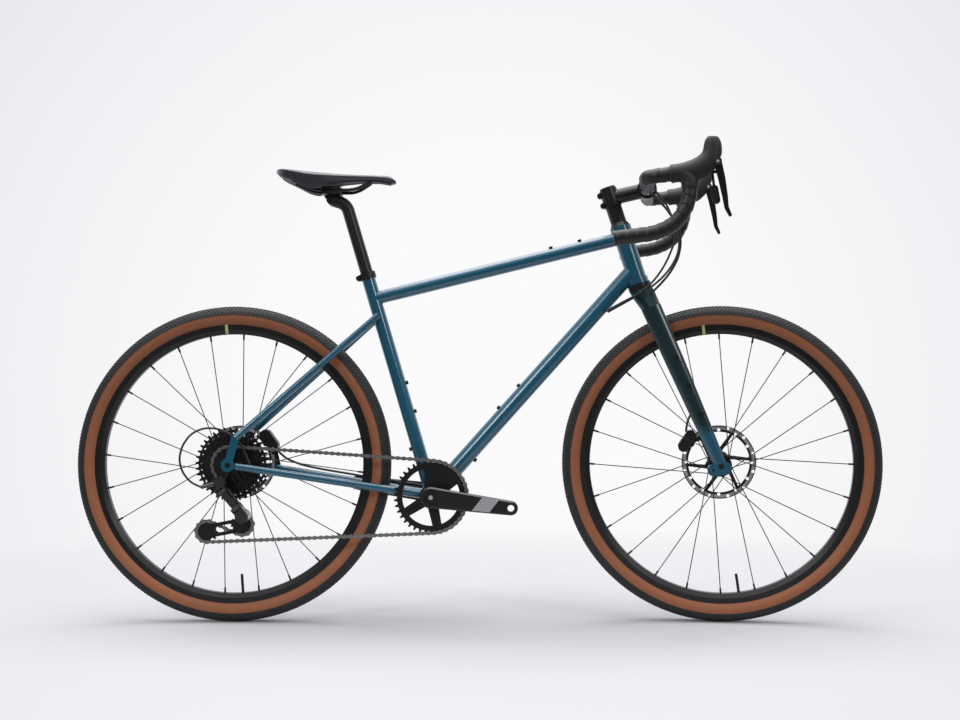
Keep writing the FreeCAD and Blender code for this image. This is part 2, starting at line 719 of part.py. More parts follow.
def around(centre, angle, radius, y):
    """A point round a wheel, by its angle from the top towards the front."""
    turn = math.radians(angle)
    return V(centre.x + radius * math.sin(turn), y, centre.z + radius * math.cos(turn))


def rim(centre, valve_angle):
    """Alloy rim with its tyre channel, and the valve through it."""
    edge = BEAD_SEAT_R + RIM_FLANGE
    wall_foot = BEAD_SEAT_R - RIM_DEPTH / 3
    channel = RIM_HALF - RIM_WALL
    profile = [
        (RIM_HALF, edge), (RIM_HALF, wall_foot),
        (RIM_FLOOR_HALF, rim_inner_r), (-RIM_FLOOR_HALF, rim_inner_r),
        (-RIM_HALF, wall_foot), (-RIM_HALF, edge), (-channel, edge), (-channel, BEAD_SEAT_R),
        (channel, BEAD_SEAT_R), (channel, edge),
    ]
    hoop = lathed(profile, centre)
    valve_hole = rod(around(centre, valve_angle, rim_inner_r - VALVE_LENGTH, 0),
                     around(centre, valve_angle, BEAD_SEAT_R + SEAT_GAP, 0), VALVE_R)
    return hoop.cut(valve_hole), valve_hole


def hub(centre, width, flange_right, flange_left, flange_r, body_right, rotor_inset):
    """Hub shell with two spoke flanges, a rotor seat on the left and end caps, bored for the axle."""
    left_end = width / 2 - SEAT_GAP
    rotor_y = width / 2 - rotor_inset
    bore = AXLE_R + RUN_FIT
    profile = [
        (-body_right, bore), (-body_right, END_CAP_R + 2), (-flange_right - FLANGE_HALF, END_CAP_R + 2),
        (-flange_right - FLANGE_HALF, flange_r), (-flange_right + FLANGE_HALF, flange_r),
        (-flange_right + FLANGE_HALF, HUB_SHELL_R), (flange_left - FLANGE_HALF, HUB_SHELL_R),
        (flange_left - FLANGE_HALF, flange_r), (flange_left + FLANGE_HALF, flange_r),
        (flange_left + FLANGE_HALF, ROTOR_LOCK_R), (rotor_y + ROTOR_THICKNESS / 2 + 2, ROTOR_LOCK_R),
        (rotor_y + ROTOR_THICKNESS / 2 + 2, END_CAP_R), (left_end, END_CAP_R), (left_end, bore),
    ]
    return lathed(profile, centre)


def spokes(centre, start, flange_right, flange_left, flange_r, neighbours):
    """Crossed spokes with their nipples, from the flanges to the rim."""
    solids = []
    hole_r = flange_r - 3
    for index in range(SPOKE_COUNT):
        left = index % 2 == 1
        leading = (index // 2) % 2 == 0
        angle = start + index * 360 / SPOKE_COUNT
        side = 1 if left else -1
        stagger = SPOKE_STAGGER if leading else -SPOKE_STAGGER
        lean = SPOKE_CROSS_ANGLE if leading else -SPOKE_CROSS_ANGLE
        flange_y = flange_left if left else -flange_right
        inner = around(centre, angle + lean, hole_r, flange_y + stagger)
        outer = around(centre, angle, rim_inner_r + 1, side * SPOKE_RIM_OUT + stagger)
        along = (inner - outer).normalize()
        spoke = joined(rod(inner, outer, SPOKE_R), rod(outer, outer + along * NIPPLE_LENGTH, NIPPLE_R))
        solids.append(biggest(spoke.cut(neighbours)))
    return solids


def rotor(centre, y):
    """Brake rotor: a drilled band on swept arms round the hub's rotor seat."""
    y_from = y - ROTOR_THICKNESS / 2
    y_to = y + ROTOR_THICKNESS / 2
    band_mid = ROTOR_R - ROTOR_BAND / 2
    band = crossways(centre, y_from, y_to, ROTOR_R).cut(crossways(centre, y_from, y_to, ROTOR_R - ROTOR_BAND))
    holes = []
    for index in range(ROTOR_HOLES):
        shift = ROTOR_BAND / 5 if index % 2 else -ROTOR_BAND / 5
        hole_middle = around(centre, index * 360 / ROTOR_HOLES, band_mid + shift, 0)
        holes.append(crossways(hole_middle, y_from, y_to, ROTOR_HOLE_R))
    parts = []
    for index in range(ROTOR_ARMS):
        angle = index * 360 / ROTOR_ARMS
        low = around(centre, angle, ROTOR_CARRIER_R, 0)
        high = around(centre, angle + ROTOR_SWEEP, ROTOR_R - ROTOR_BAND, 0)
        parts.append(arm(low, ROTOR_ARM_R * ROTOR_ARM_FLARE, high, ROTOR_ARM_R, y_from, y_to))
    carrier = crossways(centre, y_from, y_to, ROTOR_CARRIER_R + ROTOR_ARM_R)
    disc = joined(band, carrier, *parts)
    return disc.cut(holes + [crossways(centre, y_from, y_to, ROTOR_LOCK_R)])


def wheel(name, centre, turned, width, flanges, flange_r, body_right, start, valve_angle, rotor_inset):
    """All pieces of one wheel."""
    hoop, valve = rim(centre, valve_angle)
    shell = hub(centre, width, flanges[0], flanges[1], flange_r, body_right, rotor_inset)
    laced = spokes(centre, start, flanges[0], flanges[1], flange_r, [shell, hoop])
    save(name + "_tyre", tyre(centre), turned=turned)
    save(name + "_rim", hoop, valve, turned=turned)
    save(name + "_hub", shell, turned=turned)
    save(name + "_spokes", *laced, turned=turned)
    save(name + "_rotor", rotor(centre, width / 2 - rotor_inset), turned=turned)


def wheels():
    wheel("front", front_axle, True, FRONT_HUB_WIDTH, (FRONT_FLANGE_RIGHT, FRONT_FLANGE_LEFT), FRONT_FLANGE_R,
          FRONT_HUB_WIDTH / 2 - SEAT_GAP, FRONT_SPOKE_START, FRONT_VALVE_ANGLE, FRONT_ROTOR_INSET)
    wheel("rear", rear_axle, False, REAR_HUB_WIDTH, (REAR_FLANGE_RIGHT, REAR_FLANGE_LEFT), REAR_FLANGE_R,
          REAR_FLANGE_RIGHT + FLANGE_HALF, REAR_SPOKE_START, REAR_VALVE_ANGLE, REAR_ROTOR_INSET)


def axles():
    """Through axles with a head on the left."""
    for name, centre, width, wall, turned in (
        ("front_axle", front_axle, FRONT_HUB_WIDTH, FORK_END_THICKNESS, True),
        ("rear_axle", rear_axle, REAR_HUB_WIDTH, DROPOUT_THICKNESS, False),
    ):
        reach = width / 2 + wall
        shaft = crossways(centre, -reach, reach, AXLE_R)
        head = crossways(centre, reach, reach + AXLE_HEAD_THICKNESS, AXLE_HEAD_R)
        save(name, joined(shaft, head), turned=turned)


def caliper(centre, rotor_y, angle, reach):
    """Brake caliper straddling the rotor's edge, with its two pads."""
    turn = math.radians(angle)
    middle = V(centre.x + reach * math.cos(turn), 0, centre.z + reach * math.sin(turn))
    along = V(-math.sin(turn), 0, math.cos(turn)) * (CALIPER_LENGTH / 2 - CALIPER_R)
    inner = rotor_y - CALIPER_HALF
    body = arm(middle - along, CALIPER_R, middle + along, CALIPER_R, inner, rotor_y + CALIPER_HALF)
    slot_half = ROTOR_THICKNESS / 2 + SEAT_GAP + PAD_THICKNESS
    slot = crossways(centre, rotor_y - slot_half, rotor_y + slot_half, ROTOR_R + 2)
    pad_reach = ROTOR_R - PAD_R
    pad_middle = V(centre.x + pad_reach * math.cos(turn), 0, centre.z + pad_reach * math.sin(turn))
    pads = []
    for side in (-1, 1):
        inner = rotor_y + side * (ROTOR_THICKNESS / 2 + SEAT_GAP)
        pads.append(crossways(pad_middle, inner, rotor_y + side * slot_half, PAD_R))
    return [body.cut(slot)] + pads


# Fork and cockpit
def leg_place(height, side):
    """The middle of a fork leg at a height along the steering axis."""
    crown_low = FORK_LENGTH - CROWN_HEIGHT
    share = height / crown_low
    end_out = FRONT_HUB_WIDTH / 2 + LEG_END_HALF
    lead = FORK_OFFSET + (CROWN_LEAD - FORK_OFFSET) * share
    return on_steer(height, lead, side * (end_out + (LEG_TOP_OUT - end_out) * share))


leg_stations = (
    (FORK_LENGTH - CROWN_HEIGHT, LEG_TOP_DEPTH, LEG_TOP_HALF),
    (LEG_MID_UP, LEG_MID_DEPTH, LEG_MID_HALF),
    (LEG_LOW_UP, LEG_LOW_DEPTH, LEG_LOW_HALF),
    (0.0, LEG_END_DEPTH, LEG_END_HALF),
)


def leg_half(height):
    """Half the thickness of a fork leg at a height along the steering axis."""
    for (high, depth_high, half_high), (low, depth_low, half_low) in zip(leg_stations, leg_stations[1:]):
        if height >= low:
            return half_low + (half_high - half_low) * (height - low) / (high - low)
    return LEG_END_HALF


def fork():
    """Steerer and crown in one piece, and a leg on each side that ends in a foot with the axle's hole."""
    crown_low = FORK_LENGTH - CROWN_HEIGHT
    sections = [
        oval(on_steer(FORK_LENGTH), LEFTWARDS, CROWN_TOP_R + 0.5, steer_front, CROWN_TOP_R),
        oval(on_steer(FORK_LENGTH - CROWN_HEIGHT / 3, CROWN_LEAD / 3), LEFTWARDS, CROWN_SHOULDER_HALF,
             steer_front, CROWN_TOP_R),
        oval(on_steer(crown_low, CROWN_LEAD), LEFTWARDS, CROWN_HALF_WIDTH, steer_front, CROWN_HALF_DEPTH),
    ]
    crown = Part.makeLoft(sections, True, True)
    steerer = rod(on_steer(FORK_LENGTH), on_steer(stem_high), STEERER_R)
    save("fork_crown", joined(crown, steerer), turned=True)
    foot_back = front_axle + V(-FORK_FOOT_BACK, 0, -FORK_FOOT_DROP)
    foot_front = front_axle + V(FORK_END_LEAD, 0, -FORK_END_DROP)
    legs = {}
    bolts = []
    for side in (-1, 1):
        rings = []
        for height, depth, half in leg_stations:
            rings.append(oval(leg_place(height, side), steer_front, depth, LEFTWARDS, half))
        inner = side * FRONT_HUB_WIDTH / 2
        outer = side * (FRONT_HUB_WIDTH / 2 + FORK_END_THICKNESS)
        foot = arm(foot_back, FORK_FOOT_R, foot_front, FORK_END_R, inner, outer)
        leg = joined(Part.makeLoft(rings, True, True), foot)
        leg = joined(leg, caliper_tab()) if side == 1 else leg
        axle_hole = crossways(front_axle, inner, outer, AXLE_R)
        eyelet = crossways(foot_back, inner, outer, FORK_EYELET_R)
        hub_room = crossways(front_axle, 0, inner, FORK_END_ROOM)
        head_room = crossways(front_axle, outer, 2 * outer, FORK_END_ROOM)
        leg = leg.cut([axle_hole, eyelet, hub_room, head_room])
        legs[side] = biggest(leg)
        for step in range(FORK_BOSSES):
            height = FORK_BOSS_UP + step * BOSS_PITCH
            middle = leg_place(height, side) + steer_front * FORK_BOSS_LEAD
            bolt = rod(middle, middle + LEFTWARDS * side * (leg_half(height) + BOSS_HEIGHT), BOSS_R)
            bolts.append(biggest(bolt.cut(legs[side])))
    save("fork_legs", legs[-1], legs[1], turned=True)
    save("fork_bolts", *bolts, turned=True)


front_rotor_y = FRONT_HUB_WIDTH / 2 - FRONT_ROTOR_INSET
rear_rotor_y = REAR_HUB_WIDTH / 2 - REAR_ROTOR_INSET


def caliper_tab():
    """The tab on the left fork leg that the front caliper is bolted to."""
    turn = math.radians(FRONT_CALIPER_ANGLE)
    start = front_axle + V(math.cos(turn), 0, math.sin(turn)) * CALIPER_REACH
    end = leg_place(CALIPER_REACH * math.sin(turn) + LEG_LOW_DEPTH, 1)
    outer = front_rotor_y + CALIPER_HALF
    return arm(start, CALIPER_ARM_R, end, CALIPER_ARM_R, outer, outer + FORK_END_THICKNESS / 3)


def front_brake():
    solids = caliper(front_axle, front_rotor_y, FRONT_CALIPER_ANGLE, CALIPER_REACH)
    save("front_caliper", *solids, turned=True)


def rear_brake():
    """Rear caliper and the bracket on the left chain stay that carries it."""
    pieces = caliper(rear_axle, rear_rotor_y, REAR_CALIPER_ANGLE, CALIPER_REACH)
    turn = math.radians(REAR_CALIPER_ANGLE)
    start = rear_axle + V(math.cos(turn), 0, math.sin(turn)) * CALIPER_REACH
    stay_along = (bracket - rear_axle).normalize()
    foot = rear_axle + stay_along * CALIPER_REACH
    outer = rear_rotor_y + CALIPER_HALF
    bracket_arm = arm(start, CALIPER_ARM_R, foot, CALIPER_ARM_R, outer, outer + DROPOUT_THICKNESS / 2)
    pieces.append(biggest(bracket_arm.cut(made["chain_stays"])))
    save("rear_caliper", *pieces)


def spacers():
    """Headset spacers on the steerer and the cap above the stem."""
    rings = []
    for index in range(SPACER_COUNT):
        low = on_steer(spacer_low + index * SPACER_HEIGHT)
        high = on_steer(spacer_low + (index + 1) * SPACER_HEIGHT)
        rings.append(hollow(low, high, SPACER_R, STEERER_R))
    cap = rod(on_steer(stem_high), on_steer(stem_high + TOP_CAP_HEIGHT), STEM_CLAMP_R - 2)
    save("headset_spacers", *rings, cap, turned=True)


def stem():
    """Stem, its bar faceplate and the bolts."""
    middle = on_steer((stem_low + stem_high) / 2)
    along = (bar_middle - middle).normalize()
    over = V(-along.z, 0, along.x)
    block = crossways(bar_middle, -STEM_FACE_HALF, STEM_FACE_HALF, STEM_FACE_R)
    clamp = rod(on_steer(stem_low), on_steer(stem_high), STEM_CLAMP_R)
    body = rod(middle, bar_middle, STEM_BODY_R)
    reach = along * (2 * STEM_FACE_R)
    in_front = rod(bar_middle - along * STEM_SPLIT / 2, bar_middle + reach, 3 * STEM_FACE_R)
    face_side = rod(bar_middle + along * STEM_SPLIT / 2, bar_middle + reach, 3 * STEM_FACE_R)
    bar_bore = crossways(bar_middle, -STEM_FACE_HALF, STEM_FACE_HALF, BAR_CLAMP_R)
    steerer_bore = rod(on_steer(stem_low), on_steer(stem_high), STEERER_R)
    bolts = []
    offset = (BAR_CLAMP_R + STEM_FACE_R) / 2
    for left in (-1, 1):
        for up in (-1, 1):
            place = bar_middle + over * up * offset + LEFTWARDS * left * (STEM_FACE_HALF - 2 * STEM_BOLT_R)
            shank_end = place + along * 4 * STEM_BOLT_R
            bolts.append(rod(place - along * 2 * STEM_BOLT_R, shank_end, STEM_SHANK_R))
    lugs = []
    for share in STEM_LUG_SHARES:
        place = on_steer(stem_low + STEM_CLAMP_HEIGHT * share, -STEM_CLAMP_R - STEM_BOLT_R / 2)
        lugs.append(crossways(place, -STEM_CLAMP_R / 2, STEM_CLAMP_R / 2, 2 * STEM_BOLT_R))
        bolt_half = STEM_CLAMP_R * STEM_LUG_BOLT_SHARE
        bolts.append(crossways(place, -bolt_half, bolt_half, STEM_BOLT_R))
    stem_solid = joined(clamp, body, block, *lugs).cut([in_front, bar_bore, steerer_bore] + bolts)
    face = block.common(face_side).cut([bar_bore] + bolts)
    save("stem", biggest(stem_solid), turned=True)
    save("stem_faceplate", biggest(face), *bolts, turned=True)


bar_bends = (BAR_SHOULDER, BAR_RAMP, BAR_HOOK, BAR_BEND, BAR_DROP, BAR_GRIP, BAR_END)


def bar_points(side, start):
    return [at_bar((0, start, 0), side)] + [at_bar(place, side) for place in bar_bends]


def handlebar():
    """Drop bar with a fat clamp section, tape on both sides and a plug in each end."""
    taper_end = BAR_CLAMP_HALF + BAR_TAPER
    solids = [crossways(bar_middle, -BAR_CLAMP_HALF, BAR_CLAMP_HALF, BAR_CLAMP_R)]
    tapes = []
    plugs = []
    for side in (-1, 1):
        inner = at_bar((0, BAR_CLAMP_HALF, 0), side)
        outer = at_bar((0, taper_end, 0), side)
        solids.append(tapered(inner, outer, BAR_CLAMP_R, BAR_R))
        points = bar_points(side, taper_end)
        solids.append(bent_rod(points, BAR_R).cut(bent_rod(points, BAR_R - BAR_WALL)))
        wrapped = bar_points(side, TAPE_START)
        tapes.append(bent_rod(wrapped, BAR_R + TAPE_THICKNESS).cut([bent_rod(points, BAR_R)]))
        way_out = (points[-1] - points[-2]).normalize()
        plugs.append(rod(points[-1], points[-1] + way_out * PLUG_THICKNESS, BAR_R + TAPE_THICKNESS))
    bar = joined(*solids)
    save("handlebar", bar, turned=True)
    save("bar_tape", *[biggest(tape.cut(bar)) for tape in tapes], turned=True)
    save("bar_end_plugs", *plugs, turned=True)


def hood(side):
    """Brake hood swept forward along the bar and up into its horn, with the lever's pivot ears."""
    y = side * HOOD_OUT
    places = [bar_middle + V(x, y, z) for x, z, half_long, half_short in HOOD_STATIONS]
    rings = []
    for index, station in enumerate(HOOD_STATIONS):
        before = places[max(index - 1, 0)]
        after = places[min(index + 1, len(places) - 1)]
        along = (after - before).normalize()
        rings.append(oval(places[index], V(-along.z, 0, along.x), station[2], LEFTWARDS, station[3]))
    body = Part.makeLoft(rings, True, False)
    pivot = bar_middle + V(LEVER_PIVOT[0], 0, LEVER_PIVOT[1])
    slot_half = LEVER_HALF + LEVER_SLOT_GAP
    ear_half = slot_half + LEVER_PIVOT_R
    ears = crossways(pivot, y - ear_half, y + ear_half, LEVER_PIVOT_R)
    slot = Part.makeBox(3 * LEVER_SLOT_BACK, 2 * slot_half, 5 * LEVER_SLOT_UP)
    slot.translate(V(pivot.x - LEVER_SLOT_BACK, y - slot_half, pivot.z - 4 * LEVER_SLOT_UP))
    pin = crossways(pivot, y - ear_half, y + ear_half, LEVER_PIN_R)
    taped = bent_rod(bar_points(side, TAPE_START), BAR_R + TAPE_THICKNESS)
    return joined(biggest(joined(body, ears).cut([taped, slot])), pin)


def lever(side):
    """Brake lever blade hung on the hood's pin."""
    y = side * HOOD_OUT
    heights = ((*LEVER_PIVOT, LEVER_PIVOT_R),) + LEVER_STATIONS
    stations = [(bar_middle + V(x, 0, z), radius) for x, z, radius in heights]
    spans = []
    for (first, first_r), (second, second_r) in zip(stations, stations[1:]):
        spans.append(arm(first, first_r, second, second_r, y - LEVER_HALF, y + LEVER_HALF))
    blade = joined(*spans)
    return blade.cut(crossways(stations[0][0], y - LEVER_HALF, y + LEVER_HALF, LEVER_PIN_R + RUN_FIT))


paddle_y = -HOOD_OUT + PADDLE_INSET + PADDLE_THICKNESS / 2
paddle_pivot = bar_middle + V(PADDLE_PIVOT[0], paddle_y, PADDLE_PIVOT[1])
paddle_barrel = V(2.6 * PADDLE_STEM_R, 0, 0)


def shift_paddle():
    """Shift paddle that swings inward on a small pin under the right hood."""
    top = bar_middle + V(PADDLE_TOP[0], 0, PADDLE_TOP[1])
    foot = bar_middle + V(PADDLE_FOOT[0], 0, PADDLE_FOOT[1])
    y_from = paddle_y - PADDLE_THICKNESS / 2
    y_to = paddle_y + PADDLE_THICKNESS / 2
    barrel = rod(paddle_pivot - paddle_barrel, paddle_pivot + paddle_barrel, PADDLE_LUG_R)
    stalk = arm(paddle_pivot, PADDLE_STEM_R, top, PADDLE_STEM_R, y_from, y_to)
    blade = arm(top, PADDLE_R, foot, PADDLE_R, y_from, y_to)
    pin_hole = rod(paddle_pivot - paddle_barrel, paddle_pivot + paddle_barrel, PADDLE_STEM_R / 2 + RUN_FIT)
    return joined(barrel, stalk, blade).cut(pin_hole)


def paddle_lugs(hood_solid):
    """The right hood with the two lugs and the pin that carry the shift paddle."""
    along = V(1, 0, 0)
    gap = SEAT_GAP
    room_half = paddle_barrel + along * gap
    room = rod(paddle_pivot - room_half, paddle_pivot + room_half, PADDLE_ROOM_R)
    below = room.copy()
    below.translate(V(0, 0, -PADDLE_LUG_R))
    hood_solid = hood_solid.cut([room, below])
    parts = []
    for end in (-1, 1):
        start = paddle_pivot + (paddle_barrel + along * gap) * end
        parts.append(rod(start, start + along * end * PADDLE_LUG_LENGTH, PADDLE_LUG_R))
        web = Part.makeBox(PADDLE_LUG_LENGTH, 2 * PADDLE_LUG_R, PADDLE_WEB_HEIGHT)
        web.translate(V(min(start.x, start.x + end * PADDLE_LUG_LENGTH), start.y - PADDLE_LUG_R, start.z))
        parts.append(web)
    reach = paddle_barrel + along * (gap + PADDLE_LUG_LENGTH)
    parts.append(rod(paddle_pivot - reach, paddle_pivot + reach, PADDLE_STEM_R / 2))
    taped = bent_rod(bar_points(-1, TAPE_START), BAR_R + TAPE_THICKNESS)
    y = -HOOD_OUT
    slot_half = LEVER_HALF + LEVER_SLOT_GAP
    pivot = bar_middle + V(LEVER_PIVOT[0], 0, LEVER_PIVOT[1])
    blade_room = crossways(pivot, y - slot_half, y + slot_half, 3 * LEVER_SLOT_BACK)
    parts = [part.cut([taped, blade_room]) for part in parts]
    return biggest(joined(biggest(hood_solid), *parts))


def controls():
    save("brake_hoods", paddle_lugs(hood(-1)), hood(1), turned=True)
    save("brake_lever_left", lever(1), turned=True)
    save("brake_lever_right", lever(-1), turned=True)
    save("shift_paddle", shift_paddle(), turned=True)


# Drive
def pitch_radius(teeth):
    return CHAIN_PITCH / (2 * math.sin(math.pi / teeth))


def sprocket(centre, teeth, phase, y, thickness):
    """A toothed disc whose tooth gaps seat the chain's rollers, with one gap at the phase angle."""
    pitch_r = pitch_radius(teeth)
    tip_r = pitch_r + TOOTH_TIP
    points = []
    for index in range(teeth):
        gap = phase + index * 2 * math.pi / teeth
        outward = V(math.cos(gap), 0, math.sin(gap))
        sideways = V(-outward.z, 0, outward.x)
        for rise, side in ((0, -TOOTH_FLANK_HALF), (-TOOTH_ROOT, -TOOTH_SEAT_HALF),
                           (-TOOTH_ROOT, TOOTH_SEAT_HALF), (0, TOOTH_FLANK_HALF)):
            points.append(centre + outward * (pitch_r + rise) + sideways * side)
        tip = gap + math.pi / teeth
        for side in (-1, 1):
            angle = tip + side * TOOTH_TIP_HALF / tip_r
            points.append(centre + V(math.cos(angle), 0, math.sin(angle)) * tip_r)
    return plate(points, y - thickness / 2, y + thickness / 2)


link_mid = hanger_bolt + V(KNUCKLE_FORWARD, 0, -KNUCKLE_DROP)
link_down = V(math.cos(math.radians(LINK_SLOPE)), 0, math.sin(math.radians(LINK_SLOPE)))
link_axis = V(-link_down.z, 0, link_down.x)
link_end = link_mid + link_down * LINK_LENGTH
cage_pivot = link_end + V(CAGE_PIVOT_FORWARD, 0, -CAGE_PIVOT_DROP)


def polar(centre, radius, degrees):
    return centre + V(math.cos(math.radians(degrees)), 0, math.sin(math.radians(degrees))) * radius


def chain_course(cage_angle):
    """The chain's pitch line as arcs and straight runs, from the chainring's top backwards."""
    guide = polar(cage_pivot, GUIDE_ARM, cage_angle + GUIDE_LAG)
    tension = polar(cage_pivot, TENSION_ARM, cage_angle)
    wheels_round = [
        (bracket, pitch_radius(RING_TEETH), 1), (rear_axle, pitch_radius(COG_TEETH[CHAIN_COG]), 1),
        (guide, pitch_radius(PULLEY_TEETH), -1), (tension, pitch_radius(PULLEY_TEETH), 1),
    ]
    runs = []
    for first, second in zip(wheels_round, wheels_round[1:] + wheels_round[:1]):
        gap = second[0] - first[0]
        heading = math.atan2(gap.z, gap.x)
        heading += math.asin((first[2] * first[1] - second[2] * second[1]) / gap.Length)
        outward = V(math.sin(heading), 0, -math.cos(heading))
        runs.append((first[0] + outward * first[2] * first[1], second[0] + outward * second[2] * second[1]))
    course = []
    for index, (start, end) in enumerate(runs):
        centre, radius, sense = wheels_round[(index + 1) % len(wheels_round)]
        leave = runs[(index + 1) % len(runs)][0]
        angle_in = math.atan2(end.z - centre.z, end.x - centre.x)
        angle_out = math.atan2(leave.z - centre.z, leave.x - centre.x)
        sweep = (sense * (angle_out - angle_in)) % (2 * math.pi)
        course.append(("run", start, end, (end - start).Length))
        course.append(("arc", centre, (radius, angle_in, sense), radius * sweep))
    return course, guide, tension


def on_course(course, distance):
    """The point a distance along the chain's course."""
    distance = distance % sum(piece[3] for piece in course)
    for kind, start, detail, length in course:
        if distance <= length:
            if kind == "run":
                return start + (detail - start) * (distance / length)
            radius, angle_in, sense = detail
            angle = angle_in + sense * distance / radius
            return start + V(math.cos(angle), 0, math.sin(angle)) * radius
        distance -= length
    return on_course(course, 0)


def chain_pins(course, count):
    """Pins one pitch apart along the course, and the distance that they reach."""
    pins = [on_course(course, 0)]
    reached = 0.0
    for _ in range(count):
        low = reached + CHAIN_PITCH * PITCH_SEARCH[0]
        high = reached + CHAIN_PITCH * PITCH_SEARCH[1]
        for _ in range(SEARCH_STEPS):
            middle = (low + high) / 2
            if (on_course(course, middle) - pins[-1]).Length < CHAIN_PITCH:
                low = middle
            else:
                high = middle
        reached = low
        pins.append(on_course(course, reached))
    return pins, reached


def fitted_chain():
    """The cage angle and pins of a chain with a whole, even number of links."""
    course = chain_course(CAGE_ANGLE)[0]
    count = 2 * round(sum(piece[3] for piece in course) / CHAIN_PITCH / 2)

    def slack(cage_angle):
        tried = chain_course(cage_angle)[0]
        return chain_pins(tried, count)[1] - sum(piece[3] for piece in tried)

    low = CAGE_ANGLE - CAGE_SEARCH
    high = CAGE_ANGLE + CAGE_SEARCH
    rising = slack(high) > slack(low)
    for _ in range(SEARCH_STEPS):
        middle = (low + high) / 2
        if (slack(middle) < 0) == rising:
            low = middle
        else:
            high = middle
    return middle, count


cage_angle, link_count = fitted_chain()
course, guide_centre, tension_centre = chain_course(cage_angle)
pins, pins_reached = chain_pins(course, link_count)
print(f"chain: {link_count} links, cage at {cage_angle:.2f} degrees")


def phase_on(centre, teeth):
    """The angle of a pin that lies on a sprocket."""
    radius = pitch_radius(teeth)
    near = min(pins, key=lambda pin: abs((pin - centre).Length - radius))
    return math.atan2(near.z - centre.z, near.x - centre.x)


def chain():
    """Roller chain of waisted plates: outer links with their pins, inner links with their rollers."""
    inner_face = INNER_WIDTH / 2
    inner_back = inner_face + PLATE_THICKNESS
    outer_face = inner_back + 2 * RUN_FIT
    outer_back = outer_face + PLATE_THICKNESS
    origin = V(0, 0, 0)
    next_pin = V(CHAIN_PITCH, 0, 0)
    outer_parts = []
    inner_parts = []
    for side in (-1, 1):
        outer_parts.append(arm(origin, PLATE_R, next_pin, PLATE_R, side * outer_face, side * outer_back))
        inner_parts.append(arm(origin, PLATE_R, next_pin, PLATE_R, side * inner_face, side * inner_back))
    for place in (origin, next_pin):
        outer_parts.append(crossways(place, -outer_back, outer_back, PIN_R))
        inner_parts.append(crossways(place, -inner_face, inner_face, ROLLER_R))
    holes = [crossways(place, -outer_back, outer_back, PIN_R + RUN_FIT) for place in (origin, next_pin)]
    waists = []
    for up in (-1, 1):
        place = V(CHAIN_PITCH / 2, 0, up * (PLATE_WAIST_R + PLATE_WAIST))
        waists.append(crossways(place, -outer_back, outer_back, PLATE_WAIST_R))
    outer_link = joined(*outer_parts).cut(waists)
    inner_link = joined(*inner_parts).cut(holes + waists)
    links = []
    for index in range(link_count):
        start = pins[index]
        end = pins[index + 1]
        link = (outer_link if index % 2 else inner_link).copy()
        link.rotate(origin, LEFTWARDS, -math.degrees(math.atan2(end.z - start.z, end.x - start.x)))
        link.translate(V(start.x, -CHAIN_LINE, start.z))
        links.append(link)
    save("chain", *links)


def cassette():
    """Sprockets on one carrier that turns on the rear axle."""
    cogs = []
    for index, teeth in enumerate(COG_TEETH):
        y = -CHAIN_LINE + (index - CHAIN_COG) * COG_SPACING
        cog = sprocket(rear_axle, teeth, phase_on(rear_axle, COG_TEETH[CHAIN_COG]), y, COG_THICKNESS)
        if teeth >= COG_HOLED_FROM:
            hole_ring = pitch_radius(teeth) - TOOTH_ROOT - 2 * COG_HOLE_R
            count = int(2 * math.pi * hole_ring / COG_HOLE_PITCH)
            holes = []
            for number in range(count):
                place = around(rear_axle, number * 360 / count, hole_ring, 0)
                holes.append(crossways(place, y - COG_SPACING, y + COG_SPACING, COG_HOLE_R))
            cog = cog.cut(holes)
        cogs.append(cog)
    body_end = -REAR_FLANGE_RIGHT - FLANGE_HALF - SEAT_GAP
    body = crossways(rear_axle, body_end, -CHAIN_LINE - (CHAIN_COG + 0.5) * COG_SPACING, COG_BODY_R)
    end_cap = crossways(rear_axle, body_end, -dropout_inner + SEAT_GAP, END_CAP_R + 2)
    bore = crossways(rear_axle, 0, -REAR_HUB_WIDTH, AXLE_R + RUN_FIT)
    save("cassette", joined(body, end_cap, *cogs).cut(bore))


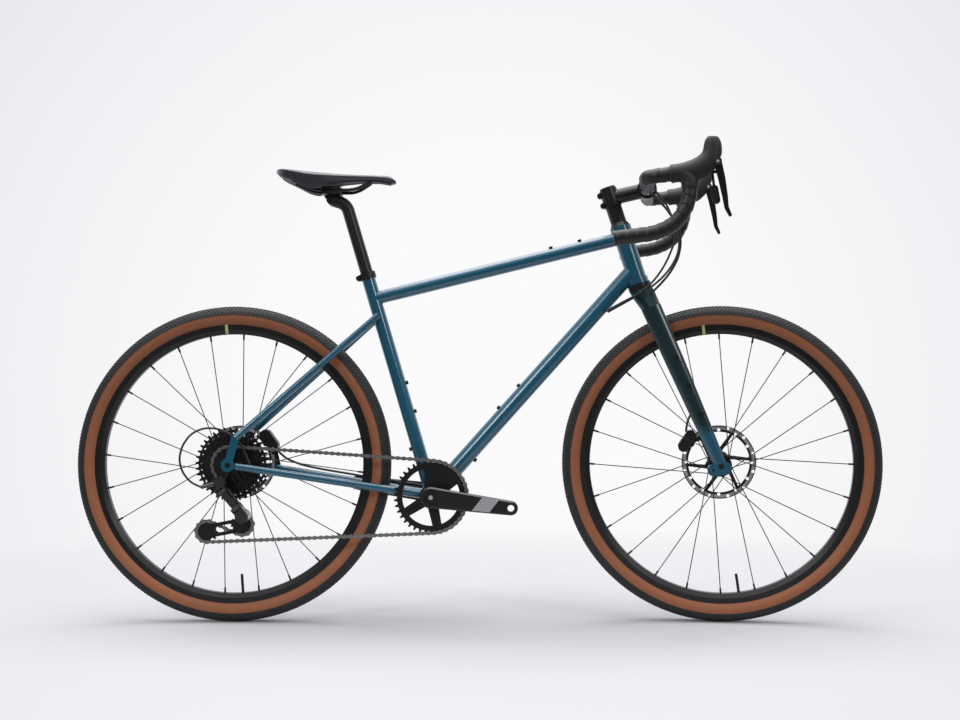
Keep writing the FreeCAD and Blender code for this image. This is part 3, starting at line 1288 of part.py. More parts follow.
def crankset():
    """Chainring on its arms, with a web between the upper two, two cranks and their spindle."""
    ring = sprocket(bracket, RING_TEETH, phase_on(bracket, RING_TEETH), -CHAIN_LINE, RING_THICKNESS)
    ring_from = -CHAIN_LINE - RING_THICKNESS / 2
    ring_to = -CHAIN_LINE + RING_THICKNESS / 2
    ring = ring.cut(crossways(bracket, ring_from, ring_to, RING_INNER_R))
    arms = []
    for angle in RING_ARM_ANGLES:
        tip = polar(bracket, RING_INNER_R + RING_ARM_R / 2, angle)
        arms.append(arm(bracket, RING_HUB_R / 2, tip, RING_ARM_R, ring_from, ring_to))
    web_ends = [polar(bracket, 2 * RING_INNER_R, angle) for angle in RING_ARM_ANGLES[:2]]
    arms.append(plate([bracket] + web_ends, ring_from, ring_to))
    kept = crossways(bracket, ring_from, ring_to, RING_INNER_R + 1)
    spider = joined(crossways(bracket, ring_from, ring_to, RING_HUB_R), *arms).common(kept)
    spindle_bore = crossways(bracket, -REAR_HUB_WIDTH, REAR_HUB_WIDTH, SPINDLE_R)
    save("chainring", joined(ring, spider).cut(spindle_bore))
    outer = CRANK_INSET + CRANK_THICKNESS
    reach = outer - SPINDLE_RECESS
    spindle_wall = crossways(bracket, SPINDLE_END_WALL - reach, reach, SPINDLE_R - SPINDLE_WALL)
    spindle = crossways(bracket, -reach, reach, SPINDLE_R).cut(spindle_wall)
    for side, name, angle in ((-1, "crank_arm_right", CRANK_ANGLE), (1, "crank_arm_left", CRANK_ANGLE + 180)):
        eye = polar(bracket, CRANK_LENGTH, angle)
        crank = arm(bracket, CRANK_BOSS_R, eye, CRANK_EYE_R, side * CRANK_INSET, side * outer)
        face = max(crank.Faces, key=lambda found: side * found.CenterOfMass.y)
        crank = crank.makeChamfer(CRANK_BEVEL, face.Edges)
        boss_from = -ring_from if side < 0 else SHELL_WIDTH / 2 + CUP_THICKNESS + SEAT_GAP
        boss = crossways(bracket, side * boss_from, side * CRANK_INSET, CRANK_BOSS_R)
        eye_hole = crossways(eye, side * CRANK_INSET, side * outer, PEDAL_THREAD_R)
        crank = joined(crank, boss).cut([eye_hole, spindle_bore])
        save(name, joined(crank, spindle) if side > 0 else crank)


# Rear derailleur
def slab(origin, d_from, d_to, w_from, w_to, y_from, y_to):
    """A block along the derailleur's links (d), across them (w) and along Y."""
    corners = [(d_from, w_from), (d_to, w_from), (d_to, w_to), (d_from, w_to)]
    return plate([origin + link_down * d + link_axis * w for d, w in corners], y_from, y_to)


ear_from = LINK_EYE_HALF + SEAT_GAP
ear_to = ear_from + EAR_THICKNESS


def link_pins(origin):
    """Two pivot pins through the ends of the derailleur's links."""
    pins_made = []
    for out in (LINK_OUTER_OUT, LINK_INNER_OUT):
        place = origin - LEFTWARDS * out
        pins_made.append(rod(place - link_axis * ear_to, place + link_axis * ear_to, LINK_PIN_R))
    return pins_made


def link_ears(origin, away):
    """Ears either side of the links' ends and the web that joins them, on one knuckle."""
    y_from = -LINK_OUTER_OUT - LINK_EYE_R
    y_to = -LINK_INNER_OUT + LINK_EYE_R
    near = -away * (LINK_EYE_R - 1)
    far = away * EAR_REACH
    web = away * (LINK_EYE_R + 4 * SEAT_GAP)
    parts = []
    for side in (-1, 1):
        parts.append(slab(origin, near, far, side * ear_from, side * ear_to, y_from, y_to))
    parts.append(slab(origin, web, far, -ear_to, ear_to, y_from, y_to))
    return parts


def derailleur_link(out, end_play):
    """One link of the derailleur's parallelogram: two eyes and the bar between them."""
    y = -out
    upper = link_mid + LEFTWARDS * y
    lower = link_end + LEFTWARDS * y
    across = link_axis * LINK_EYE_HALF
    eyes = [rod(end - across, end + across, LINK_EYE_R) for end in (upper, lower)]
    inner = y - LINK_THICKNESS / 2
    bar = slab(link_mid, 0, LINK_LENGTH, -LINK_HALF, LINK_HALF, inner, inner + LINK_THICKNESS)
    holes = []
    for end, play in ((upper, RUN_FIT), (lower, end_play)):
        holes.append(rod(end - link_axis * LINK_EYE_HALF, end + link_axis * LINK_EYE_HALF, LINK_PIN_R + play))
    return joined(bar, *eyes).cut(holes)


cage_outer_face = CHAIN_LINE + CAGE_PLATE_OUT + CAGE_PLATE_THICKNESS
housing_stop = hanger_bolt + V(-STOP_BACK, -LINK_OUTER_OUT, -STOP_DOWN)


def derailleur():
    """Knuckle on the hanger, two links, cage knuckle, cage and two pulleys."""
    hanger_face = dropout_inner + DROPOUT_THICKNESS
    boss = crossways(hanger_bolt, -hanger_face, -LINK_OUTER_OUT - LINK_EYE_R, HANGER_R + 3)
    stop = rod(hanger_bolt - LEFTWARDS * LINK_OUTER_OUT, housing_stop, 2 * HOUSING_R)
    knuckle = joined(boss, stop, *link_ears(link_mid, -1))
    knuckle = biggest(knuckle.cut([made["derailleur_hanger"], made["dropouts"]]))
    save("derailleur_knuckle", joined(knuckle, *link_pins(link_mid)))
    save("derailleur_outer_link", derailleur_link(LINK_OUTER_OUT, RUN_FIT))
    save("derailleur_inner_link", derailleur_link(LINK_INNER_OUT, 2 * RUN_FIT))
    barrel_from = cage_outer_face + 2 * SEAT_GAP
    barrel_to = LINK_OUTER_OUT + LINK_EYE_R
    barrel = crossways(cage_pivot, -barrel_from, -barrel_to, CAGE_KNUCKLE_R)
    knuckle_bore = crossways(cage_pivot, -barrel_from, -barrel_to + 4, CAGE_PIN_R + RUN_FIT)
    room = []
    for out in (LINK_OUTER_OUT, LINK_INNER_OUT):
        place = link_end - LEFTWARDS * out
        across = link_axis * ear_from
        room.append(rod(place - across, place + across, LINK_EYE_R + 2 * SEAT_GAP))
    cage_knuckle = joined(barrel, *link_ears(link_end, 1)).cut([knuckle_bore] + room)
    save("derailleur_cage_knuckle", joined(biggest(cage_knuckle), *link_pins(link_end)))
    cage_parts = []
    inner_plate = -CHAIN_LINE + CAGE_PLATE_OUT
    outer_plate = -CHAIN_LINE - CAGE_PLATE_OUT
    windows = []
    run = tension_centre - guide_centre
    for face, step in ((inner_plate, CAGE_PLATE_THICKNESS), (outer_plate, -CAGE_PLATE_THICKNESS)):
        cage_parts.append(arm(guide_centre, CAGE_PLATE_R, tension_centre, CAGE_PLATE_R, face, face + step))
        first = guide_centre + run * CAGE_WINDOW[0]
        second = guide_centre + run * CAGE_WINDOW[1]
        windows.append(arm(first, CAGE_PLATE_R / 2, second, CAGE_PLATE_R / 2, face, face + step))
    pivot_arm = arm(cage_pivot, CAGE_PIN_R * 2, guide_centre, CAGE_PLATE_R, outer_plate, -cage_outer_face)
    cage_parts.append(pivot_arm)
    plates = joined(*cage_parts).cut(windows)
    pulley_pins = []
    for centre in (guide_centre, tension_centre):
        pulley_pins.append(crossways(centre, inner_plate, outer_plate, PULLEY_PIN_R))
    cage_pin = crossways(cage_pivot, -cage_outer_face + 1, -barrel_to + 5, CAGE_PIN_R)
    save("derailleur_cage", joined(plates, *pulley_pins, cage_pin))
    for name, centre in (("guide_pulley", guide_centre), ("tension_pulley", tension_centre)):
        disc = sprocket(centre, PULLEY_TEETH, phase_on(centre, PULLEY_TEETH), -CHAIN_LINE, RING_THICKNESS)
        reach = CAGE_PLATE_OUT - SEAT_GAP
        boss = crossways(centre, -CHAIN_LINE - reach, -CHAIN_LINE + reach, PULLEY_HUB_R)
        bore = crossways(centre, -CHAIN_LINE - reach, -CHAIN_LINE + reach, PULLEY_PIN_R + RUN_FIT)
        save(name, joined(disc, boss).cut(bore))


# Saddle and seatpost
post_elbow = on_seat(SEAT_TUBE_LENGTH + POST_ELBOW)
post_head = post_elbow + V(-POST_SET_BACK, 0, POST_HEAD_RISE)
rail_z = post_head.z + RAIL_ABOVE_HEAD


def saddle_ring(x, half, low_half, crown_z, wide_z, low_z, under_z):
    """The outline of the saddle across one place: crown, drawn-in sides and hollow underneath."""
    sides = {}
    for side in (-1, 1):
        wide = V(x, side * half, wide_z)
        drawn_half = low_half + (half - low_half) * SADDLE_DRAWN_SHARE
        drawn = V(x, side * drawn_half, (wide_z + low_z) / 2)
        sides[side] = (wide, drawn, V(x, side * low_half, low_z))
    edges = [
        Part.Arc(sides[-1][0], V(x, 0, crown_z), sides[1][0]).toShape(),
        Part.Arc(*sides[1]).toShape(),
        Part.Arc(sides[1][2], V(x, 0, under_z), sides[-1][2]).toShape(),
        Part.Arc(sides[-1][2], sides[-1][1], sides[-1][0]).toShape(),
    ]
    return Part.Wire(edges)


def base_ring(x, half, low_half, crown_z, wide_z, low_z, under_z):
    """The outline of the saddle's base across one place: a thin arch under the cover."""
    out = BASE_SHARE * low_half
    edge_z = under_z - (under_z - low_z) * BASE_SHARE ** 2
    low = SADDLE_BASE_THICKNESS
    edges = [
        Part.Arc(V(x, -out, edge_z), V(x, 0, under_z), V(x, out, edge_z)).toShape(),
        Part.LineSegment(V(x, out, edge_z), V(x, out, edge_z - low)).toShape(),
        Part.Arc(V(x, out, edge_z - low), V(x, 0, under_z - low), V(x, -out, edge_z - low)).toShape(),
        Part.LineSegment(V(x, -out, edge_z - low), V(x, -out, edge_z)).toShape(),
    ]
    return Part.Wire(edges)


def under_saddle(x, y):
    """The height of the base's underside at a place."""
    for first, second in zip(SADDLE_SECTIONS, SADDLE_SECTIONS[1:]):
        if x >= second[0]:
            share = (first[0] - x) / (first[0] - second[0])
            low_half, low_z, under_z = [first[c] + (second[c] - first[c]) * share for c in (2, 5, 6)]
            return under_z - (under_z - low_z) * (y / low_half) ** 2 - SADDLE_BASE_THICKNESS
    return SADDLE_SECTIONS[-1][6]


def saddle():
    """Seatpost set back to its clamp, rails, base and the crowned saddle."""
    foot = on_seat(SEAT_TUBE_LENGTH - POST_INSERT)
    post = bent_rod([foot, post_elbow, post_head], POST_R)
    cradle = crossways(post_head, -CLAMP_HALF / 2, CLAMP_HALF / 2, POST_HEAD_R)
    bed_z = rail_z - RAIL_R - RAIL_BED
    above = Part.makeBox(6 * POST_R, 4 * POST_R, 4 * POST_R)
    above.translate(V(post_head.x - 3 * POST_R, -2 * POST_R, bed_z))
    save("seatpost", biggest(joined(post, cradle).cut(above)))
    cover = Part.makeLoft([saddle_ring(*section) for section in SADDLE_SECTIONS], True, True)
    base = Part.makeLoft([base_ring(*section) for section in SADDLE_SECTIONS[1:-1]], True, True)
    base = biggest(base.cut(cover))
    rails = []
    for side in (-1, 1):
        bends = []
        for x, out in (RAIL_NOSE, RAIL_FRONT_BEND, RAIL_REAR_BEND, RAIL_TAIL):
            held = (x, out) in (RAIL_NOSE, RAIL_TAIL)
            bends.append(V(x, side * out, under_saddle(x, out) - RAIL_R / 2 if held else rail_z))
        rails.append(biggest(bent_rod(bends, RAIL_R).cut([base, cover])))
    save("saddle_rails", *rails)
    save("saddle_cover", cover)
    save("saddle_base", base)
    blocks = []
    for z_from, height in ((bed_z, RAIL_R + RAIL_BED - 1), (rail_z + 1, CLAMP_PLATE)):
        block = Part.makeBox(CLAMP_LENGTH, 2 * CLAMP_HALF, height)
        block.translate(V(post_head.x - CLAMP_LENGTH / 2, -CLAMP_HALF, z_from))
        blocks.append(block.cut(rails))
    bolts = []
    for lead in (-1, 1):
        start = V(post_head.x + lead * CLAMP_LENGTH / 3, 0, bed_z - POST_HEAD_R / 2)
        bolts.append(rod(start, V(start.x, 0, rail_z + CLAMP_PLATE + 2), CLAMP_BOLT_R))
    blocks = [block.cut(bolts) for block in blocks]
    bolts = [biggest(bolt.cut(made["seatpost"])) for bolt in bolts]
    save("saddle_clamp", *blocks, *bolts)


# Control lines, along routes chosen by hand
GEAR_START = ((13.6, TAPE_START - LINE_START_GAP, -3.7), (20.0, 64.0, -13.0))
GEAR_LINE = ((402, -54, 894), (415, -53, 866), (422, -53, 838), (421, -51, 815), (415, -49, 795),
             (400, -46, 761), (376, -41, 727), (349, -38, 704), (314, -30, 686), (275, -17, 665))
REAR_HOSE_START = ((13.6, TAPE_START - LINE_START_GAP, -3.7), (24.0, 67.0, -14.0))
REAR_HOSE_LINE = ((414, 50, 901), (433, 53, 875), (446, 55, 842), (446, 54, 806), (431, 49, 772),
                  (404, 43, 740), (370, 38, 714), (330, 30, 692), (285, 19, 667))
FRONT_HOSE_START = ((6.0, TAPE_START - LINE_START_GAP, -13.0), (17.0, 68.0, -22.0))
FRONT_HOSE_LINE = ((409, -65, 881), (426, -65, 857), (437, -63, 831), (439, -58, 805), (433, -51, 776),
                   (416, -42, 746), (391, -32, 718), (370, -26, 700))
CALIPER_HOSE_LINE = ((478, 52, 462), (464, 50, 446), (455, 47, 426), (452, 44, 404))
STAY_HOSE_LINE = ((-118, 27, 290), (-165, 31, 297), (-220, 38, 304), (-280, 46, 314), (-340, 53.5, 323),
                  (-388, 58, 333), (-422, 59, 347), (-441, 58, 366))
GEAR_LOOP = ((-476, -65, 336), (-485, -61.5, 356), (-497, -60, 381), (-518, -63, 404),
             (-543, -71, 416), (-571, -79, 418), (-598, -84, 406), (-616, -87, 380),
             (-622, -88, 351), (-614, -88, 324), (-597, -88, 304))


def from_bar(start, side):
    """Where a line leaves the end of the bar tape."""
    return [at_bar(place, side) for place in start]


def from_turned_bar(start, side):
    """Where a line leaves the end of the bar tape, in the resting steering pose."""
    return [steered(Part.Vertex(place)).Point for place in from_bar(start, side)]


def control_lines():
    """Brake hoses and gear housings from the bar to the frame, the brakes and the derailleur."""
    gear_route = from_turned_bar(GEAR_START, -1) + [V(*p) for p in GEAR_LINE]
    rear_route = from_turned_bar(REAR_HOSE_START, 1) + [V(*p) for p in REAR_HOSE_LINE]
    gear = cord("gear housing, front", gear_route, HOUSING_R)
    rear = cord("rear brake hose, front", rear_route, HOSE_R)
    down_tube = made["down_tube"]
    save("steering_lines", biggest(gear.cut(down_tube)), biggest(rear.cut(down_tube)))
    front_route = from_bar(FRONT_HOSE_START, -1) + [V(*p) for p in FRONT_HOSE_LINE]
    front = cord("front brake hose, upper", front_route, HOSE_R)
    front = biggest(front.cut(unturned["fork_crown"]))
    lower = cord("front brake hose, lower", [V(*p) for p in CALIPER_HOSE_LINE], HOSE_R)
    lower = biggest(lower.cut([unturned["fork_legs"], unturned["front_caliper"]]))
    save("front_brake_hose", front, lower, turned=True)
    stay = cord("rear brake hose, rear", [V(*p) for p in STAY_HOSE_LINE], HOSE_R)
    stay = biggest(stay.cut([made["chain_stays"], made["rear_caliper"]]))
    loop = cord("gear housing, rear loop", [V(*p) for p in GEAR_LOOP] + [housing_stop], HOUSING_R)
    loop = biggest(loop.cut([made["chain_stays"], made["derailleur_knuckle"]]))
    save("rear_control_lines", stay, loop)


# Every node as made, with the front assembly turned to its resting steering angle
made = {}
unturned = {}


def steered(shape):
    turned_shape = shape.copy()
    turned_shape.rotate(steer_foot, steer_up, STEER_REST)
    return turned_shape


def save(name, *solids, turned=False):
    """Keep a node's solids and write them to the node's file."""
    whole = []
    for solid in solids:
        whole += solid.Solids
    shape = Part.makeCompound(whole)
    unturned[name] = shape
    made[name] = steered(shape) if turned else shape
    for solid in made[name].Solids:
        if not solid.isValid():
            print(f"{name}: a solid isn't valid")
    made[name].exportStep(f"parts/{name}.step")


def build():
    os.makedirs("parts", exist_ok=True)
    frame_tubes()
    rear_triangle()
    seat_collar()
    bosses()
    headset()
    bracket_cups()
    wheels()
    axles()
    fork()
    front_brake()
    rear_brake()
    spacers()
    stem()
    handlebar()
    controls()
    chain()
    cassette()
    crankset()
    derailleur()
    saddle()
    control_lines()
    print(f"{len(made)} nodes")


build()
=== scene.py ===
import json
import math

import bpy
import numpy as np
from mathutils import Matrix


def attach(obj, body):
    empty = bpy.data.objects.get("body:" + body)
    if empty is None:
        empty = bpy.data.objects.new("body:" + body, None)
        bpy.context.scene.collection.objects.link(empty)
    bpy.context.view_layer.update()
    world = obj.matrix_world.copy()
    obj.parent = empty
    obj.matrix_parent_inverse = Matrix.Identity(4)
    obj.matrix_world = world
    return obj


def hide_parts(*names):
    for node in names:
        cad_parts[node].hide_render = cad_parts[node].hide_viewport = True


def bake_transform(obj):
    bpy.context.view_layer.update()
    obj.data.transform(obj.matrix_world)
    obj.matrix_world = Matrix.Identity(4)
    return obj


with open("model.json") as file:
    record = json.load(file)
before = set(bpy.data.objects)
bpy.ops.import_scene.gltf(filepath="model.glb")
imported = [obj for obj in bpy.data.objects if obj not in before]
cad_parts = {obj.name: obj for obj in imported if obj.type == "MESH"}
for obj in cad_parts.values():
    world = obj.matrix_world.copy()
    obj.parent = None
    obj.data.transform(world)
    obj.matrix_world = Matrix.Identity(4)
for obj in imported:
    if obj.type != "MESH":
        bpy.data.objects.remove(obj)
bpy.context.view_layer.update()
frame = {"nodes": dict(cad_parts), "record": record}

joints = {joint["name"]: joint for joint in frame["record"]["behaviour"]["joints"]}
bpy.context.scene.view_settings.view_transform = "Standard"

# Camera: a long studio lens on a stand, square to the drive side and a little above the cranks.
# Its place, yaw and rise were solved from the two wheels.
CAMERA_PLACE = (0.0321, -2.7641, 0.4956)
CAMERA_YAW = math.radians(0.515)
CAMERA_RISE = math.radians(1.378)
CAMERA_LENS = 48.0
SENSOR_WIDTH = 36.0
camera_data = bpy.data.cameras.new("camera")
camera_data.lens = CAMERA_LENS
camera_data.sensor_width = SENSOR_WIDTH
camera_data.sensor_fit = "HORIZONTAL"
camera = bpy.data.objects.new("camera", camera_data)
camera.location = CAMERA_PLACE
camera.rotation_euler = (math.pi / 2 + CAMERA_RISE, 0, CAMERA_YAW)
bpy.context.scene.collection.objects.link(camera)
bpy.context.scene.camera = camera


# Frame: welded steel tubes in gloss teal blue, one deep coat under a clear one.
# The tubes meet at the head tube, the seat tube and the bottom bracket shell.
BARE_STEEL = (0.55, 0.55, 0.56)
TEAL = (0.005, 0.100, 0.168)
GRAIN_COARSER = 16.0
GRAIN_DETAIL = 3.0
COAT_ROUGHNESS = 0.14
RELIEF_DEPTH = 0.001
PIN_EDGE = 0.0002


def new_group(name, inputs, outputs):
    """An empty shader node group with float inputs and outputs."""
    group = bpy.data.node_groups.new(name, "ShaderNodeTree")
    for label, value in inputs:
        socket = group.interface.new_socket(label, in_out="INPUT", socket_type="NodeSocketFloat")
        socket.default_value = value
    for label in outputs:
        group.interface.new_socket(label, in_out="OUTPUT", socket_type="NodeSocketFloat")
    return group, group.nodes.new("NodeGroupInput"), group.nodes.new("NodeGroupOutput")


def grain_group():
    """Two noises on Object coordinates: Fine at Scale per metre, and Broad sixteen times coarser."""
    group, given, put_out = new_group("surface_grain", (("Scale", 400.0),), ("Fine", "Broad"))
    nodes = group.nodes
    place = nodes.new("ShaderNodeTexCoord")
    coarser = nodes.new("ShaderNodeMath")
    coarser.operation = "DIVIDE"
    coarser.inputs[1].default_value = GRAIN_COARSER
    group.links.new(given.outputs["Scale"], coarser.inputs[0])
    for label, scale in (("Fine", given.outputs["Scale"]), ("Broad", coarser.outputs[0])):
        noise = nodes.new("ShaderNodeTexNoise")
        noise.inputs["Detail"].default_value = GRAIN_DETAIL
        group.links.new(place.outputs["Object"], noise.inputs["Vector"])
        group.links.new(scale, noise.inputs["Scale"])
        group.links.new(noise.outputs["Fac"], put_out.inputs[label])
    return group


surface_grain = grain_group()


def mixed(nodes, links, factor, low, high):
    """A colour between two, each a fixed colour or a socket, by a mask."""
    mix = nodes.new("ShaderNodeMix")
    mix.data_type = "RGBA"
    links.new(factor, mix.inputs["Factor"])
    for socket, value in ((mix.inputs[6], low), (mix.inputs[7], high)):
        if isinstance(value, tuple):
            socket.default_value = (*value, 1.0)
        else:
            links.new(value, socket)
    return mix.outputs[2]


def ranged(nodes, links, value, low, high, from_low=0.0, from_high=1.0):
    """A value carried from one range to another, held at the ends."""
    span = nodes.new("ShaderNodeMapRange")
    span.inputs["From Min"].default_value = from_low
    span.inputs["From Max"].default_value = from_high
    span.inputs["To Min"].default_value = low
    span.inputs["To Max"].default_value = high
    links.new(value, span.inputs["Value"])
    return span.outputs["Result"]


def finish(name, colour, roughness, metallic=0.0, coat=0.0, scale=900.0, bump=0.02,
           vary=0.12, rough_vary=0.08):
    """A material whose colour and roughness drift with the grain, which is also its bump."""
    material = bpy.data.materials.new(name)
    material.use_nodes = True
    nodes, links = material.node_tree.nodes, material.node_tree.links
    shader = nodes["Principled BSDF"]
    shader.inputs["Metallic"].default_value = metallic
    shader.inputs["Coat Weight"].default_value = coat
    shader.inputs["Coat Roughness"].default_value = COAT_ROUGHNESS
    grain = nodes.new("ShaderNodeGroup")
    grain.name = "grain"
    grain.node_tree = surface_grain
    grain.inputs["Scale"].default_value = scale
    dark = tuple(c * (1 - vary) for c in colour)
    light = tuple(c * (1 + vary) for c in colour)
    links.new(mixed(nodes, links, grain.outputs["Broad"], dark, light), shader.inputs["Base Color"])
    rough = ranged(nodes, links, grain.outputs["Fine"], roughness - rough_vary, roughness + rough_vary)
    links.new(rough, shader.inputs["Roughness"])
    relief = nodes.new("ShaderNodeBump")
    relief.name = "relief"
    relief.inputs["Strength"].default_value = bump
    relief.inputs["Distance"].default_value = RELIEF_DEPTH
    links.new(grain.outputs["Fine"], relief.inputs["Height"])
    links.new(relief.outputs["Normal"], shader.inputs["Normal"])
    return material


def worked(nodes, links, operation, first, second):
    """One sum of two values, each a number or a socket."""
    sum_node = nodes.new("ShaderNodeMath")
    sum_node.operation = operation
    for socket, value in zip(sum_node.inputs, (first, second)):
        if isinstance(value, float):
            socket.default_value = value
        else:
            links.new(value, socket)
    return sum_node.outputs[0]


def within(nodes, links, value, middle, half):
    """1 where a value lies no further than half from the middle."""
    level = worked(nodes, links, "COMPARE", value, middle)
    level.node.inputs[2].default_value = half
    return level


def axis_reach(nodes, links, joint):
    """The distance of a point from a joint's axis: the length of (place - foot) x axis."""
    place = nodes.new("ShaderNodeTexCoord")
    arm = nodes.new("ShaderNodeVectorMath")
    arm.operation = "SUBTRACT"
    arm.inputs[1].default_value = joints[joint]["pos_m"]
    links.new(place.outputs["Object"], arm.inputs[0])
    across = nodes.new("ShaderNodeVectorMath")
    across.operation = "CROSS_PRODUCT"
    across.inputs[1].default_value = joints[joint]["axis"]
    links.new(arm.outputs["Vector"], across.inputs[0])
    reach = nodes.new("ShaderNodeVectorMath")
    reach.operation = "LENGTH"
    links.new(across.outputs["Vector"], reach.inputs[0])
    return reach.outputs["Value"]


def paint_over(material, mask, colour):
    """Lays a colour over a material's own where the mask is 1."""
    nodes, links = material.node_tree.nodes, material.node_tree.links
    base = nodes["Principled BSDF"].inputs["Base Color"]
    links.new(mixed(nodes, links, mask, base.links[0].from_socket, colour), base)


def bright_pin(material, joint, radius):
    """Paints the end of the pin on a joint's axis as bare steel."""
    nodes, links = material.node_tree.nodes, material.node_tree.links
    reach = axis_reach(nodes, links, joint)
    inside = ranged(nodes, links, reach, 1.0, 0.0, radius - PIN_EDGE, radius + PIN_EDGE)
    paint_over(material, inside, BARE_STEEL)


def dress(material, *names):
    """Gives CAD nodes a material."""
    for name in names:
        for held in frame["nodes"][name].material_slots:
            held.material = material


frame_paint = finish("teal_paint", TEAL, 0.24, coat=1.0, scale=160.0, bump=0.0015, vary=0.05, rough_vary=0.03)
dress(frame_paint, "head_tube", "top_tube", "down_tube", "seat_tube", "bottom_bracket_shell",
      "chain_stays", "seat_stays", "dropouts")

# Black alloy fittings: collar, cups, hanger, axles, stem and spacers, turned or forged aluminium,
# anodised black with a fine satin grain.
ANODISED = (0.009, 0.009, 0.010)
black_alloy = finish("black_anodised", ANODISED, 0.38, metallic=0.2, scale=1500.0, bump=0.03)
dress(black_alloy, "seat_collar", "headset_cups", "bottom_bracket_cups", "derailleur_hanger", "rear_axle",
      "front_axle", "headset_spacers", "stem", "stem_faceplate", "handlebar")

# Bolts: small black steel heads, screwed into the threaded bosses of the frame and the fork.
# They fill the bosses where nothing is carried.
bolt_black = finish("bolt_black", (0.020, 0.020, 0.021), 0.42, metallic=0.6, scale=2500.0, bump=0.03)
dress(bolt_black, "boss_bolts", "fork_bolts")


# Fork: carbon legs and crown in dark green teal, lighter towards the ends of the legs.
# It turns in the head tube, and its crown is flatter in sheen than the legs.
FORK_DARK = (0.005, 0.026, 0.031)
FORK_LIGHT = (0.013, 0.098, 0.158)
FADE_LOW = 0.400
FADE_HIGH = 0.425
CROWN_SPECULAR = 0.10


def fork_material(name, roughness, coat):
    """Paint whose colour goes from the light one to the dark one with height."""
    material = finish(name, FORK_DARK, roughness, coat=coat, scale=160.0, bump=0.002, rough_vary=0.03)
    nodes, links = material.node_tree.nodes, material.node_tree.links
    place = nodes.new("ShaderNodeTexCoord")
    split = nodes.new("ShaderNodeSeparateXYZ")
    links.new(place.outputs["Object"], split.inputs["Vector"])
    height = ranged(nodes, links, split.outputs["Z"], 0.0, 1.0, FADE_LOW, FADE_HIGH)
    faded = mixed(nodes, links, height, FORK_LIGHT, FORK_DARK)
    links.new(faded, nodes["Principled BSDF"].inputs["Base Color"])
    return material


dress(fork_material("fork_paint", 0.28, 0.7), "fork_legs")
crown_paint = fork_material("crown_paint", 0.45, 0.0)
crown_paint.node_tree.nodes["Principled BSDF"].inputs["Specular IOR Level"].default_value = CROWN_SPECULAR
dress(crown_paint, "fork_crown")


# Tyres: a supple casing with tan side walls and a black tread of small moulded blocks,
# seated on the rim's beads. The blocks run in staggered rows round the tread.
SECTION_RADIUS = 0.3155
CASING = 0.0219
BLOCK_HEIGHT = 0.0015
BEAD_ANGLE = math.radians(146)
TREAD_ANGLE = math.radians(80)
AROUND = 320
ACROSS = 44
BLOCK_ROWS = 9
BLOCKS_IN_ROW = 250
BLOCK_LONG = 0.0054
BLOCK_WIDE = 0.0056
BLOCK_TAPER = 0.72
BLOCK_SUNK = 0.0006
ROW_SPREAD = 0.92
WALL_SUNK = 0.0006
TREAD_RAISED = 0.0008
TREAD_SOFTNESS = 0.02
WALL_EDGE = 0.004
RUBBER = (0.023, 0.0235, 0.025)
TAN = (0.375, 0.130, 0.055)
TAN_DARK = (0.285, 0.100, 0.044)


def wheel_axes(joint):
    """The axle's middle, its direction, and two directions square to it, forward and up."""
    middle = np.array(joint["pos_m"])
    axle = np.array(joint["axis"]) / np.linalg.norm(joint["axis"])
    forward = np.cross(axle, (0.0, 0.0, 1.0))
    forward /= np.linalg.norm(forward)
    return middle, axle, forward, np.cross(forward, axle)


def on_tyre(axes, turn, tilt, radius):
    """Points at an angle round the wheel and an angle round the tyre's section of a given radius."""
    middle, axle, forward, up = axes
    reach = SECTION_RADIUS + radius * np.cos(tilt)
    out = np.cos(turn)[..., None] * forward + np.sin(turn)[..., None] * up
    return middle + reach[..., None] * out + (radius * np.sin(tilt))[..., None] * axle


def quads(rows, columns, close_rows=False, close_columns=False):
    """Corner numbers of the faces of a grid, joined end to end where it closes."""
    i = np.arange(rows if close_rows else rows - 1)[:, None]
    j = np.arange(columns if close_columns else columns - 1)[None, :]
    corners = [(i, j), (i + 1, j), (i + 1, j + 1), (i, j + 1)]
    return np.stack([(a % rows) * columns + b % columns + 0 * (i + j) for a, b in corners], -1).reshape(-1, 4)


def add_piece(name, points, faces, material, body, uv=None):
    """A smooth mesh piece on its body, if one is named, with an optional UV for each face corner."""
    mesh = bpy.data.meshes.new(name)
    mesh.from_pydata(points.reshape(-1, 3), [], faces.reshape(-1, 4))
    mesh.polygons.foreach_set("use_smooth", np.ones(len(mesh.polygons), bool))
    if uv is not None:
        layer = mesh.uv_layers.new(name="UVMap")
        layer.data.foreach_set("uv", uv.reshape(-1).astype(np.float32))
    mesh.materials.append(material)
    piece = bpy.data.objects.new(name, mesh)
    bpy.context.scene.collection.objects.link(piece)
    if body:
        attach(piece, body)
    return piece


def ring_uv(rows, columns):
    """The share along the rows, which close, and along the columns at each face corner of a grid."""
    i = np.arange(rows)[:, None]
    j = np.arange(columns - 1)[None, :]
    corners = [(i, j), (i + 1, j), (i + 1, j + 1), (i, j + 1)]
    shares = [np.stack([(a + 0 * j) / rows, (b + 0 * i) / (columns - 1)], -1) for a, b in corners]
    return np.stack(shares, -2)


